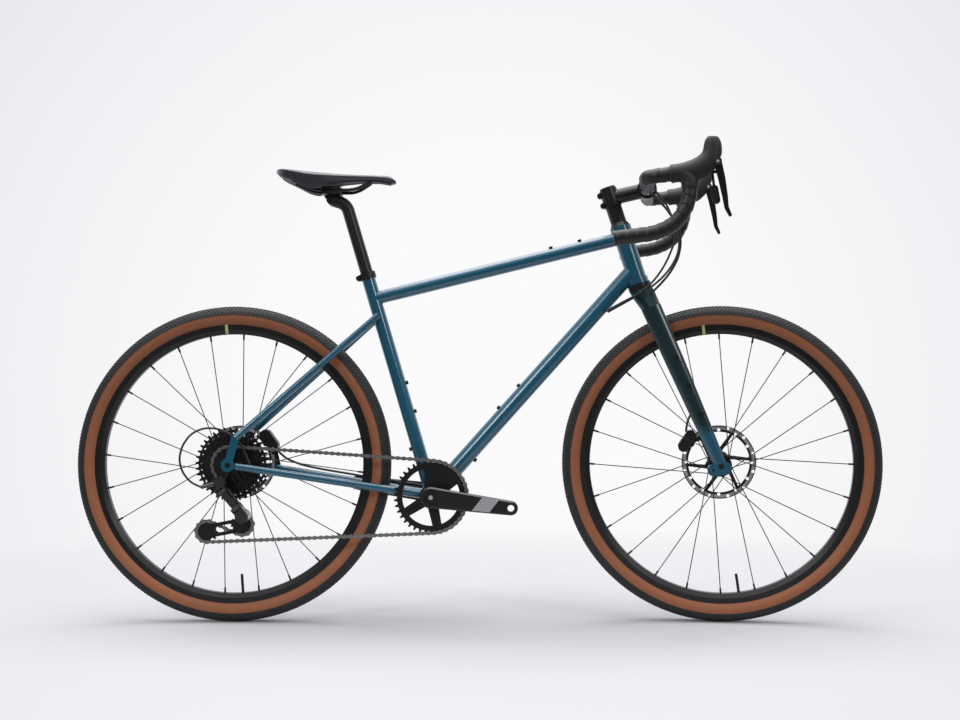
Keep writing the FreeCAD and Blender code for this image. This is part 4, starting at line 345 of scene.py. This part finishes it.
def tyre_casing(name, axes, material, body):
    """The section is a circle of CASING from bead to bead, with a shallow step at the tread's edge."""
    turn = np.linspace(0, 2 * np.pi, AROUND, endpoint=False)[:, None]
    tilt = np.linspace(-BEAD_ANGLE, BEAD_ANGLE, ACROSS)[None, :]
    tread = 1 / (1 + np.exp((np.abs(tilt) - TREAD_ANGLE) / TREAD_SOFTNESS))
    radius = CASING - WALL_SUNK + TREAD_RAISED * tread
    points = on_tyre(axes, turn + 0 * tilt, tilt + 0 * turn, radius + 0 * turn)
    faces = quads(AROUND, ACROSS, close_rows=True)[:, ::-1]
    uv = ring_uv(AROUND, ACROSS).reshape(-1, 4, 2)[:, ::-1]
    return add_piece(name, points, faces, material, body, uv)


def tread_blocks(name, axes, material, body):
    """Each block is a low frustum whose eight corners lie on the tyre at its own turn and tilt."""
    rows = np.linspace(-ROW_SPREAD, ROW_SPREAD, BLOCK_ROWS) * TREAD_ANGLE
    number = np.arange(BLOCKS_IN_ROW)
    stagger = (np.arange(BLOCK_ROWS) % 2) / 2
    turn = 2 * np.pi * (number[None, :] + stagger[:, None]) / BLOCKS_IN_ROW
    tilt = np.repeat(rows[:, None], BLOCKS_IN_ROW, 1)
    shrink = np.repeat((1.0, BLOCK_TAPER), 4)
    along = np.tile((-1, 1, 1, -1), 2) * shrink * BLOCK_LONG / 2
    across = np.tile((-1, -1, 1, 1), 2) * shrink * BLOCK_WIDE / 2
    height = np.repeat((-BLOCK_SUNK, BLOCK_HEIGHT), 4)
    reach = SECTION_RADIUS + CASING * np.cos(tilt)
    turns = turn[..., None] + along / reach[..., None]
    tilts = tilt[..., None] + across / CASING
    points = on_tyre(axes, turns, tilts, CASING + 0 * tilts + height)
    block = np.array([(4, 5, 6, 7), (0, 1, 5, 4), (1, 2, 6, 5), (2, 3, 7, 6), (3, 0, 4, 7), (3, 2, 1, 0)])
    faces = (8 * np.arange(BLOCK_ROWS * BLOCKS_IN_ROW))[:, None, None] + block
    piece = add_piece(name, points, faces[..., ::-1], material, body)
    piece.data.polygons.foreach_set("use_smooth", np.zeros(len(piece.data.polygons), bool))
    return piece


def tyre_material():
    """Black rubber between the tread's edges and tan casing outside them, by the UV across the tyre."""
    material = finish("tyre_rubber", RUBBER, 0.62, scale=1400.0, bump=0.10, vary=0.2)
    nodes, links = material.node_tree.nodes, material.node_tree.links
    layout = nodes.new("ShaderNodeUVMap")
    layout.uv_map = "UVMap"
    split = nodes.new("ShaderNodeSeparateXYZ")
    links.new(layout.outputs["UV"], split.inputs["Vector"])
    side = worked(nodes, links, "ABSOLUTE", worked(nodes, links, "SUBTRACT", split.outputs["Y"], 0.5), 0.0)
    edge = TREAD_ANGLE / BEAD_ANGLE / 2
    wall = ranged(nodes, links, side, 0.0, 1.0, edge - WALL_EDGE, edge + WALL_EDGE)
    rubber = nodes["Principled BSDF"].inputs["Base Color"].links[0].from_socket
    tan = mixed(nodes, links, nodes["grain"].outputs["Broad"], TAN_DARK, TAN)
    links.new(mixed(nodes, links, wall, rubber, tan), nodes["Principled BSDF"].inputs["Base Color"])
    return material


tyre_rubber = tyre_material()
block_rubber = finish("block_rubber", RUBBER, 0.66, scale=1200.0, bump=0.08, vary=0.25)
for which in ("front", "rear"):
    axes = wheel_axes(joints[f"{which}_wheel_spin"])
    casing = tyre_casing(f"{which}_tyre_casing", axes, tyre_rubber, f"{which}_wheel")
    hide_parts(f"{which}_tyre")
    tread_blocks(f"{which}_tread_blocks", axes, block_rubber, f"{which}_wheel")

# Rims, hubs and spokes: black anodised rims with a plain pale bar across the near wall, forged black hubs
# and round black steel spokes with black nipples.
RIM_BARS = (("front", math.radians(6.7)), ("rear", math.radians(3.2)))
RIM_BLACK = (0.008, 0.008, 0.009)
RIM_BAR_HALF = 0.0030
RIM_BAR_INSET = 0.008
RIM_BAR_GREEN = (0.62, 0.68, 0.28)


def rim_material(which, turn):
    """Black with a bar: near the radius at an angle behind the top, above the axle and on the near wall."""
    material = finish(f"{which}_rim_black", RIM_BLACK, 0.36, metallic=0.15, scale=700.0, bump=0.015)
    nodes, links = material.node_tree.nodes, material.node_tree.links
    middle, axle, forward, up = wheel_axes(joints[f"{which}_wheel_spin"])
    place = nodes.new("ShaderNodeTexCoord")
    reaches = []
    for way in (forward * math.cos(turn) + up * math.sin(turn), up, axle):
        dot = nodes.new("ShaderNodeVectorMath")
        dot.operation = "DOT_PRODUCT"
        dot.inputs[1].default_value = way
        links.new(place.outputs["Object"], dot.inputs[0])
        reaches.append(worked(nodes, links, "SUBTRACT", dot.outputs["Value"], float(middle @ way)))
    strip = within(nodes, links, reaches[0], 0.0, RIM_BAR_HALF)
    above = worked(nodes, links, "GREATER_THAN", reaches[1], 0.0)
    near = worked(nodes, links, "LESS_THAN", reaches[2], -RIM_BAR_INSET)
    upper_near = worked(nodes, links, "MULTIPLY", above, near)
    paint_over(material, worked(nodes, links, "MULTIPLY", strip, upper_near), RIM_BAR_GREEN)
    return material


for which, turn in RIM_BARS:
    dress(rim_material(which, turn), f"{which}_rim")
dress(black_alloy, "front_hub", "rear_hub")
spoke_black = finish("spoke_black", (0.015, 0.015, 0.016), 0.34, metallic=0.5, scale=1800.0, bump=0.01)
dress(spoke_black, "front_spokes", "rear_spokes")

# Brake rotors: steel discs with black arms and edges and a bare ground band where the pads run.
# Each is bolted to its hub's left side.
ROTOR_STEEL = (0.46, 0.46, 0.47)
BAND_MIDDLE = 0.0743
BAND_HALF = 0.0034


def rotor_material(which):
    """Black with a bare steel band at the pads' distance from the axle."""
    material = finish(f"{which}_rotor_steel", ANODISED, 0.34, metallic=0.3, scale=2200.0, bump=0.04)
    nodes, links = material.node_tree.nodes, material.node_tree.links
    reach = axis_reach(nodes, links, f"{which}_wheel_spin")
    paint_over(material, within(nodes, links, reach, BAND_MIDDLE, BAND_HALF), ROTOR_STEEL)
    return material


for which in ("front", "rear"):
    dress(rotor_material(which), f"{which}_rotor")

# Brake calipers: forged alloy blocks, black, with a slightly rougher skin.
# They are bolted to the left fork leg and to the left chain stay.
caliper_black = finish("caliper_black", (0.009, 0.009, 0.010), 0.42, metallic=0.15, scale=1300.0, bump=0.08)
dress(caliper_black, "front_caliper", "rear_caliper")

# Cranks: forged black alloy with bevelled edges on a steel spindle, which shows a bright bolt in its end.
# The right one has a plain slanted silver panel on its outer face.
CRANK_TURN = math.radians(-7.5)
PANEL_FACE = -0.0718
PANEL_FROM = 0.0985
PANEL_TO = 0.1345
PANEL_SLANT = 0.594
PANEL_HALF = 0.0155
PANEL_SILVER = (0.42, 0.42, 0.43)
SPINDLE_BOLT = 0.0045


def crank_place(nodes, links):
    """A point's place along the right crank, across it and along the spindle."""
    place = nodes.new("ShaderNodeTexCoord")
    arm = nodes.new("ShaderNodeVectorMath")
    arm.operation = "SUBTRACT"
    arm.inputs[1].default_value = joints["crank_spin"]["pos_m"]
    links.new(place.outputs["Object"], arm.inputs[0])
    turned = nodes.new("ShaderNodeVectorRotate")
    turned.rotation_type = "Y_AXIS"
    turned.inputs["Angle"].default_value = CRANK_TURN
    links.new(arm.outputs["Vector"], turned.inputs["Vector"])
    split = nodes.new("ShaderNodeSeparateXYZ")
    links.new(turned.outputs["Vector"], split.inputs["Vector"])
    return split.outputs


def panel_mask(nodes, links):
    """1 on the outer face where the place along, less the slant, and the place across lie in the panel."""
    along, out, across = crank_place(nodes, links)
    slanted = worked(nodes, links, "SUBTRACT", along, worked(nodes, links, "MULTIPLY", across, PANEL_SLANT))
    middle = (PANEL_FROM + PANEL_TO) / 2
    inside = within(nodes, links, slanted, middle, (PANEL_TO - PANEL_FROM) / 2)
    level = within(nodes, links, across, 0.0, PANEL_HALF)
    facing = worked(nodes, links, "LESS_THAN", out, PANEL_FACE)
    return worked(nodes, links, "MULTIPLY", worked(nodes, links, "MULTIPLY", inside, level), facing)


def crank_material(name):
    """Satin black with a thin clear coat."""
    return finish(name, (0.010, 0.010, 0.011), 0.34, metallic=0.1, coat=0.25, scale=500.0, bump=0.006)


right_crank = crank_material("crank_right_black")
paint_over(right_crank, panel_mask(right_crank.node_tree.nodes, right_crank.node_tree.links), PANEL_SILVER)
dress(right_crank, "crank_arm_right")
left_crank = crank_material("crank_left_black")
bright_pin(left_crank, "crank_spin", SPINDLE_BOLT)
dress(left_crank, "crank_arm_left")

# Drive: a black alloy chainring on the right crank, a dark steel cassette and a bare steel chain.
# The cassette turns on the rear hub, and the chain runs over both and the derailleur's pulleys.
ring_black = finish("ring_black", (0.010, 0.010, 0.011), 0.38, metallic=0.3, scale=1500.0, bump=0.03)
dress(ring_black, "chainring")
cog_steel = finish("cog_steel", (0.055, 0.055, 0.058), 0.32, metallic=0.9, scale=2000.0, bump=0.04, vary=0.3)
dress(cog_steel, "cassette")
CHAIN_STEEL = (0.27, 0.262, 0.245)
chain_steel = finish("chain_steel", CHAIN_STEEL, 0.32, metallic=0.7, scale=2500.0, bump=0.05, vary=0.3)
dress(chain_steel, "chain")

# Rear derailleur: black forged links and knuckles, a stamped cage and two moulded pulleys.
# It hangs on the right dropout's hanger, and its pieces turn on each other's pins.
FORGED = (0.055, 0.055, 0.060)
forged_gloss = finish("forged_gloss", FORGED, 0.30, metallic=0.55, coat=0.5)
dress(forged_gloss, "derailleur_knuckle", "derailleur_outer_link", "derailleur_inner_link",
      "derailleur_cage_knuckle")
dress(ring_black, "derailleur_cage")
moulded = finish("moulded_black", (0.010, 0.010, 0.011), 0.5, scale=1600.0, bump=0.06)
dress(moulded, "guide_pulley", "tension_pulley", "shift_paddle", "bar_end_plugs", "saddle_base")

# Hoses and gear housings: round black plastic sleeves.
# Those on the stays and the fork go into the tubes, the brakes and the derailleur.
sleeve = finish("sleeve_black", (0.014, 0.014, 0.015), 0.42, scale=1500.0, bump=0.02)
dress(sleeve, "rear_control_lines", "front_brake_hose")


# Bar tape: a foam strip wound round the bar from its ends towards the stem, each turn half over the last.
# Its edge stands up as a spiral ridge along the whole bar.
BAR_MIDDLE = np.array((0.36826, 0.0, 0.92880))
BAR_ROUTE = ((0.0, 0.074, 0.0), (0.0, 0.199, 0.001), (0.015, 0.213, 0.0025), (0.086, 0.215, 0.010),
             (0.084, 0.218, -0.048), (0.062, 0.221, -0.0895), (0.020, 0.224, -0.1115),
             (-0.061, 0.228, -0.1205))
BEND_SHARE = 0.45
ARC_POINTS = 24
BAR_RADIUS = 0.0119
TAPE_LOW = 0.0025
TAPE_STEP = 0.0011
TAPE_PITCH = 0.0195
TAPE_RISE = 0.88
TAPE_ROWS = 620
TAPE_RING = 40
STEER_REST = math.radians(-7.5)
LEAN = np.array((0.40, 0.60, 0.69))


def steered(points):
    """Points turned about the steering axis to the photographed angle (Rodrigues' formula)."""
    axis = np.array(joints["steering"]["axis"])
    foot = np.array(joints["steering"]["pos_m"])
    arm = points - foot
    along = (arm @ axis)[..., None] * axis
    return foot + along + (arm - along) * math.cos(STEER_REST) + np.cross(axis, arm) * math.sin(STEER_REST)


def bent_route(corners):
    """Straight runs and round arcs: each arc is a rational curve of degree two, weighted by its half turn."""
    corners = np.asarray(corners)
    runs = np.diff(corners, axis=0)
    lengths = np.linalg.norm(runs, axis=1)
    ways = runs / lengths[:, None]
    shares = np.linspace(0, 1, ARC_POINTS)[:, None]
    stretches = [corners[:1]]
    for here in range(1, len(corners) - 1):
        back = BEND_SHARE * min(lengths[here - 1], lengths[here])
        start = corners[here] - ways[here - 1] * back
        end = corners[here] + ways[here] * back
        weight = math.sqrt((1 + float(ways[here - 1] @ ways[here])) / 2)
        parts = ((1 - shares) ** 2, 2 * weight * shares * (1 - shares), shares ** 2)
        curve = parts[0] * start + parts[1] * corners[here] + parts[2] * end
        stretches.append(curve / (parts[0] + parts[1] + parts[2]))
    stretches.append(corners[-1:])
    return np.vstack(stretches)


def evenly(points, count):
    """The same line with evenly spaced points, and each one's distance along it."""
    steps = np.concatenate([[0], np.cumsum(np.linalg.norm(np.diff(points, axis=0), axis=1))])
    places = np.linspace(0, steps[-1], count)
    return np.stack([np.interp(places, steps, points[:, k]) for k in range(3)], 1), places


def bar_line(side, count):
    """Evenly spaced points along one side of the bar, and each one's distance along it."""
    return evenly(bent_route(np.array(BAR_ROUTE) * (1, side, 1) + BAR_MIDDLE), count)


def ring_ways(line, side):
    """Two directions square to a line at each point, the first one the nearest to the lean."""
    ways = np.gradient(line, axis=0)
    ways /= np.linalg.norm(ways, axis=1)[:, None]
    lean = LEAN * (1, side, 1)
    first = lean - (ways @ lean)[:, None] * ways
    first /= np.linalg.norm(first, axis=1)[:, None]
    return first, np.cross(ways, first)


def outward(first, second, angle):
    """The direction at each angle round a line, from its two directions square to it."""
    return np.cos(angle)[None, :, None] * first[:, None] + np.sin(angle)[None, :, None] * second[:, None]


def wound_tape(side):
    """Radius = bar + low thickness + a step that grows along each turn and drops at the strip's edge."""
    line, places = bar_line(side, TAPE_ROWS)
    first, second = ring_ways(line, side)
    angle = np.linspace(0, 2 * np.pi, TAPE_RING, endpoint=False)
    turn = places[:, None] / TAPE_PITCH - angle[None, :] / (2 * np.pi)
    share = turn - np.floor(turn)
    step = np.where(share < TAPE_RISE, share / TAPE_RISE, (1 - share) / (1 - TAPE_RISE))
    radius = BAR_RADIUS + TAPE_LOW + TAPE_STEP * step
    return steered(line[:, None] + radius[..., None] * outward(first, second * side, angle))


tape_black = finish("tape_black", (0.009, 0.0085, 0.0095), 0.46, scale=1100.0, bump=0.10, vary=0.2)
tape_sides = [wound_tape(side) for side in (1, -1)]
tape_faces = quads(TAPE_ROWS, TAPE_RING, close_columns=True)[:, ::-1]
tape_faces = np.concatenate([tape_faces, tape_faces + TAPE_ROWS * TAPE_RING])
bar_tape = add_piece("wound_bar_tape", np.stack(tape_sides), tape_faces, tape_black, "fork")
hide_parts("bar_tape")

# Lines across the steering: the gear housing and the rear brake hose, round black plastic sleeves.
# Each leaves the end of the tape, hangs in front of the head tube and goes into the down tube.
# Held at both ends, they run between the frame and the fork.
GEAR_START = ((0.0136, 0.0715, -0.0037), (0.0200, 0.0640, -0.0130))
GEAR_LINE = ((0.402, -0.054, 0.894), (0.415, -0.053, 0.866), (0.422, -0.053, 0.838), (0.421, -0.051, 0.815),
             (0.415, -0.049, 0.795), (0.400, -0.046, 0.761), (0.376, -0.041, 0.727), (0.349, -0.038, 0.704),
             (0.314, -0.030, 0.686), (0.275, -0.017, 0.665))
HOSE_START = ((0.0136, 0.0715, -0.0037), (0.0240, 0.0670, -0.0140))
HOSE_LINE = ((0.414, 0.050, 0.901), (0.433, 0.053, 0.875), (0.446, 0.055, 0.842), (0.446, 0.054, 0.806),
             (0.431, 0.049, 0.772), (0.404, 0.043, 0.740), (0.370, 0.038, 0.714), (0.330, 0.030, 0.692),
             (0.285, 0.019, 0.667))
GEAR_RADIUS = 0.0022
HOSE_RADIUS = 0.0025
LINE_RING = 14
LINE_END = 0.02


def line_points(name, start, side, rest):
    """Points along a NURBS spline of order three that has the route's points as its control points."""
    route = np.vstack([steered(np.array(start) * (1, side, 1) + BAR_MIDDLE), rest])
    curve = bpy.data.curves.new(name, "CURVE")
    curve.dimensions = "3D"
    spline = curve.splines.new("NURBS")
    spline.points.add(len(route) - 1)
    spline.points.foreach_set("co", np.hstack([route, np.ones((len(route), 1))]).ravel())
    spline.order_u = 3
    spline.use_endpoint_u = True
    holder = bpy.data.objects.new(name, curve)
    mesh = bpy.data.meshes.new_from_object(holder)
    points = np.array([vertex.co for vertex in mesh.vertices])
    bpy.data.objects.remove(holder)
    bpy.data.curves.remove(curve)
    bpy.data.meshes.remove(mesh)
    return points


def swept_line(line, radius):
    """A circle square to the line at each point, of nearly no radius at both ends, which closes them."""
    ways = np.gradient(line, axis=0)
    ways = np.vstack([ways[:1], ways, ways[-1:]])
    ways /= np.linalg.norm(ways, axis=1)[:, None]
    first = np.cross(ways, (0.0, 1.0, 0.0))
    first /= np.linalg.norm(first, axis=1)[:, None]
    second = np.cross(ways, first)
    angle = np.linspace(0, 2 * np.pi, LINE_RING, endpoint=False)
    reach = np.full(len(line) + 2, radius)
    reach[[0, -1]] = radius * LINE_END
    middles = np.vstack([line[:1], line, line[-1:]])
    return middles[:, None] + reach[:, None, None] * outward(first, second, angle)


gear_tube = swept_line(line_points("gear_route", GEAR_START, -1, GEAR_LINE), GEAR_RADIUS)
hose_tube = swept_line(line_points("hose_route", HOSE_START, 1, HOSE_LINE), HOSE_RADIUS)
gear_faces = quads(len(gear_tube), LINE_RING, close_columns=True)
hose_faces = quads(len(hose_tube), LINE_RING, close_columns=True) + gear_tube.size // 3
line_tubes = np.vstack([gear_tube.reshape(-1, 3), hose_tube.reshape(-1, 3)])
line_faces = np.concatenate([gear_faces, hose_faces])
line_sleeves = add_piece("steering_line_sleeves", line_tubes, line_faces, sleeve, None)
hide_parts("steering_lines")
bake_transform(line_sleeves)

# Brake hoods and levers: moulded rubber hoods over the bodies, forged black lever blades on steel pins.
# Each hood's rubber runs on round the bar's bend as a sleeve, over the tape.
SLEEVE_FROM = 0.174
SLEEVE_TO = 0.238
SLEEVE_RADIUS = 0.0171
SLEEVE_LIP = 0.008
LIP_DROP = 0.003
SLEEVE_ROWS = 900
SLEEVE_RING = 48
LEVER_PIN = 0.0026


def hood_sleeve(side):
    """A tube along the bar's route whose radius falls off at both lips as a quarter circle."""
    line, places = bar_line(side, SLEEVE_ROWS)
    kept = (places > SLEEVE_FROM) & (places < SLEEVE_TO)
    line, places = line[kept], places[kept]
    first, second = ring_ways(line, side)
    lip = np.clip(np.minimum(places - SLEEVE_FROM, SLEEVE_TO - places) / SLEEVE_LIP, 0, 1)
    radius = SLEEVE_RADIUS - LIP_DROP * (1 - np.sqrt(1 - (1 - lip) ** 2))
    angle = np.linspace(0, 2 * np.pi, SLEEVE_RING, endpoint=False)
    return steered(line[:, None] + radius[:, None, None] * outward(first, second, angle))


hood_rubber = finish("hood_rubber", (0.012, 0.0115, 0.013), 0.56, scale=1000.0, bump=0.08, vary=0.10)
dress(hood_rubber, "brake_hoods")
for side, label in ((1, "left"), (-1, "right")):
    bright_pin(hood_rubber, f"brake_lever_{label}_pull", LEVER_PIN)
    ring = hood_sleeve(side)
    faces = quads(*ring.shape[:2], close_columns=True)[:, ::-1]
    add_piece(f"hood_sleeve_{label}", ring, faces, hood_rubber, "fork")
lever_black = finish("lever_black", (0.015, 0.015, 0.016), 0.30, metallic=0.4, scale=1200.0, bump=0.02)
dress(lever_black, "brake_lever_left", "brake_lever_right")

# Seatpost, clamp and rails: a black alloy post with a satin skin, and black steel rails.
# The collar holds the post in the seat tube, and the clamp on its head holds the rails.
post_black = finish("post_black", (0.020, 0.020, 0.021), 0.34, metallic=0.4, scale=1500.0, bump=0.02)
dress(post_black, "seatpost", "saddle_clamp")
dress(bolt_black, "saddle_rails")


# Saddle cover: a smooth synthetic skin stretched over foam on the base, crowned along the top.
# Sections from nose to tail: place along X, half width, lower half width, and the heights
# of the crown, the widest line, the lower edge and the hollow underneath.
SADDLE_SECTIONS = np.array((
    (-0.175, 0.0090, 0.0070, 0.9505, 0.9480, 0.9445, 0.9455),
    (-0.186, 0.0170, 0.0135, 0.9585, 0.9515, 0.9435, 0.9470),
    (-0.210, 0.0210, 0.0170, 0.9610, 0.9545, 0.9480, 0.9515),
    (-0.250, 0.0250, 0.0200, 0.9623, 0.9555, 0.9485, 0.9520),
    (-0.290, 0.0350, 0.0280, 0.9636, 0.9550, 0.9450, 0.9515),
    (-0.322, 0.0500, 0.0420, 0.9650, 0.9540, 0.9360, 0.9515),
    (-0.345, 0.0620, 0.0550, 0.9665, 0.9535, 0.9250, 0.9520),
    (-0.365, 0.0680, 0.0620, 0.9675, 0.9550, 0.9290, 0.9530),
    (-0.395, 0.0700, 0.0650, 0.9698, 0.9610, 0.9445, 0.9560),
    (-0.415, 0.0580, 0.0550, 0.9704, 0.9660, 0.9540, 0.9610),
    (-0.425, 0.0420, 0.0400, 0.9702, 0.9675, 0.9605, 0.9635),
    (-0.431, 0.0220, 0.0210, 0.9685, 0.9670, 0.9635, 0.9645),
))
SADDLE_ROWS = 150
SADDLE_COLUMNS = 96
CHANNEL_DEPTH = 0.0022
CHANNEL_HALF = 0.012
CHANNEL_FROM = 0.02
CHANNEL_GROWS = 0.03
SECTION_SPACE = 0.004
CROWN_CURVE = 0.9
UNDER_SHARE = 0.55
SIDE_CURVE = 1.5
HOLLOW_CURVE = 3


def through(places, values, wanted):
    """A smooth line through given values: cubic pieces with slopes taken from the neighbours (Hermite)."""
    slopes = np.gradient(values, places, axis=0)
    at = np.clip(np.searchsorted(places, wanted) - 1, 0, len(places) - 2)
    width = places[at + 1] - places[at]
    t = ((wanted - places[at]) / width)[:, None]
    wide = width[:, None]
    start = (2 * t ** 3 - 3 * t ** 2 + 1) * values[at] + (t ** 3 - 2 * t ** 2 + t) * wide * slopes[at]
    end = (3 * t ** 2 - 2 * t ** 3) * values[at + 1] + (t ** 3 - t ** 2) * wide * slopes[at + 1]
    return start + end


def saddle_skin():
    """Round each section: an arch over the top, a round side down to the lower edge, and a flat underside."""
    measure = np.concatenate([[0], np.cumsum(np.abs(np.diff(SADDLE_SECTIONS[:, 0])) + SECTION_SPACE)])
    wanted = np.linspace(0, measure[-1], SADDLE_ROWS)
    x, half, low_half, crown, widest, edge, under = through(measure, SADDLE_SECTIONS, wanted).T[..., None]
    share = np.linspace(0, 1, SADDLE_COLUMNS, endpoint=False)[None, :]
    turn = 2 * np.pi * share
    y_top = half * np.sin(turn)
    bump_up = np.abs(np.cos(turn)) ** CROWN_CURVE
    grown = np.clip((half - CHANNEL_FROM) / CHANNEL_GROWS, 0, 1)
    channel = CHANNEL_DEPTH * np.exp(-(y_top / CHANNEL_HALF) ** 2) * grown
    z_top = widest + (crown - widest) * bump_up - channel
    down = np.clip(np.abs(share - 0.5) * 4, 0, 1)
    side = np.clip((down - UNDER_SHARE) / (1 - UNDER_SHARE), 0, 1)
    inner = np.clip(down / UNDER_SHARE, 0, 1)
    y_side = np.where(side > 0, low_half + (half - low_half) * side ** SIDE_CURVE, low_half * inner)
    y_low = np.sign(np.sin(turn)) * y_side
    z_low = np.where(side > 0, edge + (widest - edge) * side, under + (edge - under) * inner ** HOLLOW_CURVE)
    top = np.cos(turn) >= 0
    y = np.where(top, y_top, y_low)
    z = np.where(top, z_top, z_low)
    return np.stack([x + 0 * turn, y, z], -1)


def capped(points, name, material, body):
    """A tube of rings with each end drawn to its middle."""
    rings = np.concatenate([np.repeat(points[:1].mean(1, keepdims=True), points.shape[1], 1), points,
                            np.repeat(points[-1:].mean(1, keepdims=True), points.shape[1], 1)])
    faces = quads(rings.shape[0], rings.shape[1], close_columns=True)
    return add_piece(name, rings, faces, material, body)


saddle_black = finish("saddle_skin", (0.040, 0.038, 0.047), 0.38, coat=0.25, scale=1500.0)
cover = capped(saddle_skin(), "saddle_skin_cover", saddle_black, "seatpost")
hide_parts("saddle_cover")

# Stage: a pale floor with a painted soft shadow under the bike, fading into a pale studio backdrop with
# painted shade towards its edges; a broad soft lamp above and two smaller ones in front.
# The studio is bright behind the bike and dim behind the camera, so that black pieces stay black.
FLOOR_PALE = (0.66, 0.66, 0.685)
# Painted shadow: the floor's darker colour, laid in a soft ellipse under the bike in place of a cast shadow.
FLOOR_PAINTED_SHADOW = (0.53, 0.535, 0.56)
FLOOR_HALF = 4.0
FLOOR_SOLID = 0.5
FLOOR_GONE = 1.9
# The painted shadow's half lengths along and across the bike, and the scaled distance at which it has faded
# out.
PAINTED_SHADOW_LONG = 0.75
PAINTED_SHADOW_DEEP = 0.36
PAINTED_SHADOW_GONE = 1.6
# Painted shade on the backdrop seen by the camera: pale in the middle of the view and darker towards its
# edges.
PALE_MIDDLE = (0.965, 0.96, 0.975)
PALE_EDGE_PAINTED_SHADE = (0.80, 0.81, 0.845)
STUDIO_BRIGHT = (0.95, 0.96, 1.0)
STUDIO_DIM = (0.10, 0.10, 0.105)
FIELD_RANGE = (0.89, 0.99)
BEHIND_RANGE = (-0.35, 0.45)
ABOVE_RANGE = (0.35, 0.75)
DIFFUSE_STRENGTH = 0.42
LAMPS = (("overhead", (0.0, 0.2, 3.4), (0.0, 0.0, 0.0), 3.2, 125.0),
         ("front_left", (-2.6, -3.4, 2.8), (0.0, 0.0, 0.5), 1.4, 50.0),
         ("front_right", (2.8, -3.2, 2.4), (0.0, 0.0, 0.5), 1.2, 30.0))
floor_mesh = bpy.data.meshes.new("floor")
floor_corners = np.array([(-1, -1, 0), (1, -1, 0), (1, 1, 0), (-1, 1, 0)]) * FLOOR_HALF
floor_mesh.from_pydata(floor_corners, [], [(0, 1, 2, 3)])
floor_paper = finish("floor_paper", FLOOR_PALE, 0.9, scale=60.0, bump=0.0, vary=0.004)
floor_nodes, floor_links = floor_paper.node_tree.nodes, floor_paper.node_tree.links
floor_place = floor_nodes.new("ShaderNodeTexCoord")
floor_reach = floor_nodes.new("ShaderNodeVectorMath")
floor_reach.operation = "LENGTH"
floor_links.new(floor_place.outputs["Object"], floor_reach.inputs[0])
floor_kept = ranged(floor_nodes, floor_links, floor_reach.outputs["Value"], 1.0, 0.0, FLOOR_SOLID, FLOOR_GONE)
floor_links.new(floor_kept, floor_nodes["Principled BSDF"].inputs["Alpha"])
# Painted shadow: the floor colour is darkened towards the shadow colour in a soft ellipse under the bike.
painted_shadow_ellipse = floor_nodes.new("ShaderNodeVectorMath")
painted_shadow_ellipse.operation = "DIVIDE"
painted_shadow_ellipse.inputs[1].default_value = (PAINTED_SHADOW_LONG, PAINTED_SHADOW_DEEP, 1.0)
floor_links.new(floor_place.outputs["Object"], painted_shadow_ellipse.inputs[0])
painted_shadow_reach = floor_nodes.new("ShaderNodeVectorMath")
painted_shadow_reach.operation = "LENGTH"
floor_links.new(painted_shadow_ellipse.outputs["Vector"], painted_shadow_reach.inputs[0])
painted_shadow_mask = ranged(floor_nodes, floor_links, painted_shadow_reach.outputs["Value"], 1.0, 0.0, 0.0, PAINTED_SHADOW_GONE)
painted_shadow_mask.node.interpolation_type = "SMOOTHSTEP"
paint_over(floor_paper, painted_shadow_mask, FLOOR_PAINTED_SHADOW)
floor_mesh.materials.append(floor_paper)
floor = bpy.data.objects.new("floor", floor_mesh)
bpy.context.scene.collection.objects.link(floor)


def lamp(name, place, aim, size, power):
    """A square soft lamp at a place, facing a point."""
    data = bpy.data.lights.new(name, "AREA")
    data.size = size
    data.energy = power
    light = bpy.data.objects.new(name, data)
    light.location = place
    away = np.array(place) - np.array(aim)
    tilt = math.atan2(math.hypot(away[0], away[1]), away[2])
    light.rotation_euler = (tilt, 0, math.atan2(away[0], -away[1]))
    bpy.context.scene.collection.objects.link(light)


def studio():
    """The camera sees a pale field with painted shade, darker off its middle; other rays see light above and
    behind.
    """
    world = bpy.data.worlds.new("studio")
    world.use_nodes = True
    nodes, links = world.node_tree.nodes, world.node_tree.links
    way = nodes.new("ShaderNodeTexCoord")
    split = nodes.new("ShaderNodeSeparateXYZ")
    links.new(way.outputs["Generated"], split.inputs["Vector"])
    # Painted shade: away from the view's middle, the camera-seen field goes from the middle colour to the
    # darker edge colour.
    middle = ranged(nodes, links, split.outputs["Y"], 0.0, 1.0, *FIELD_RANGE)
    pale = mixed(nodes, links, middle, PALE_EDGE_PAINTED_SHADE, PALE_MIDDLE)
    behind = ranged(nodes, links, split.outputs["Y"], 0.0, 1.0, *BEHIND_RANGE)
    above = ranged(nodes, links, split.outputs["Z"], 0.0, 1.0, *ABOVE_RANGE)
    lit = worked(nodes, links, "MAXIMUM", behind, above)
    around = mixed(nodes, links, lit, STUDIO_DIM, STUDIO_BRIGHT)
    rays = nodes.new("ShaderNodeLightPath")
    seen = mixed(nodes, links, rays.outputs["Is Camera Ray"], around, pale)
    links.new(seen, nodes["Background"].inputs["Color"])
    shown = worked(nodes, links, "MAXIMUM", rays.outputs["Is Camera Ray"], rays.outputs["Is Glossy Ray"])
    clear = worked(nodes, links, "MAXIMUM", shown, rays.outputs["Is Transmission Ray"])
    links.new(ranged(nodes, links, clear, DIFFUSE_STRENGTH, 1.0), nodes["Background"].inputs["Strength"])
    return world


for lamp_values in LAMPS:
    lamp(*lamp_values)
bpy.context.scene.world = studio()
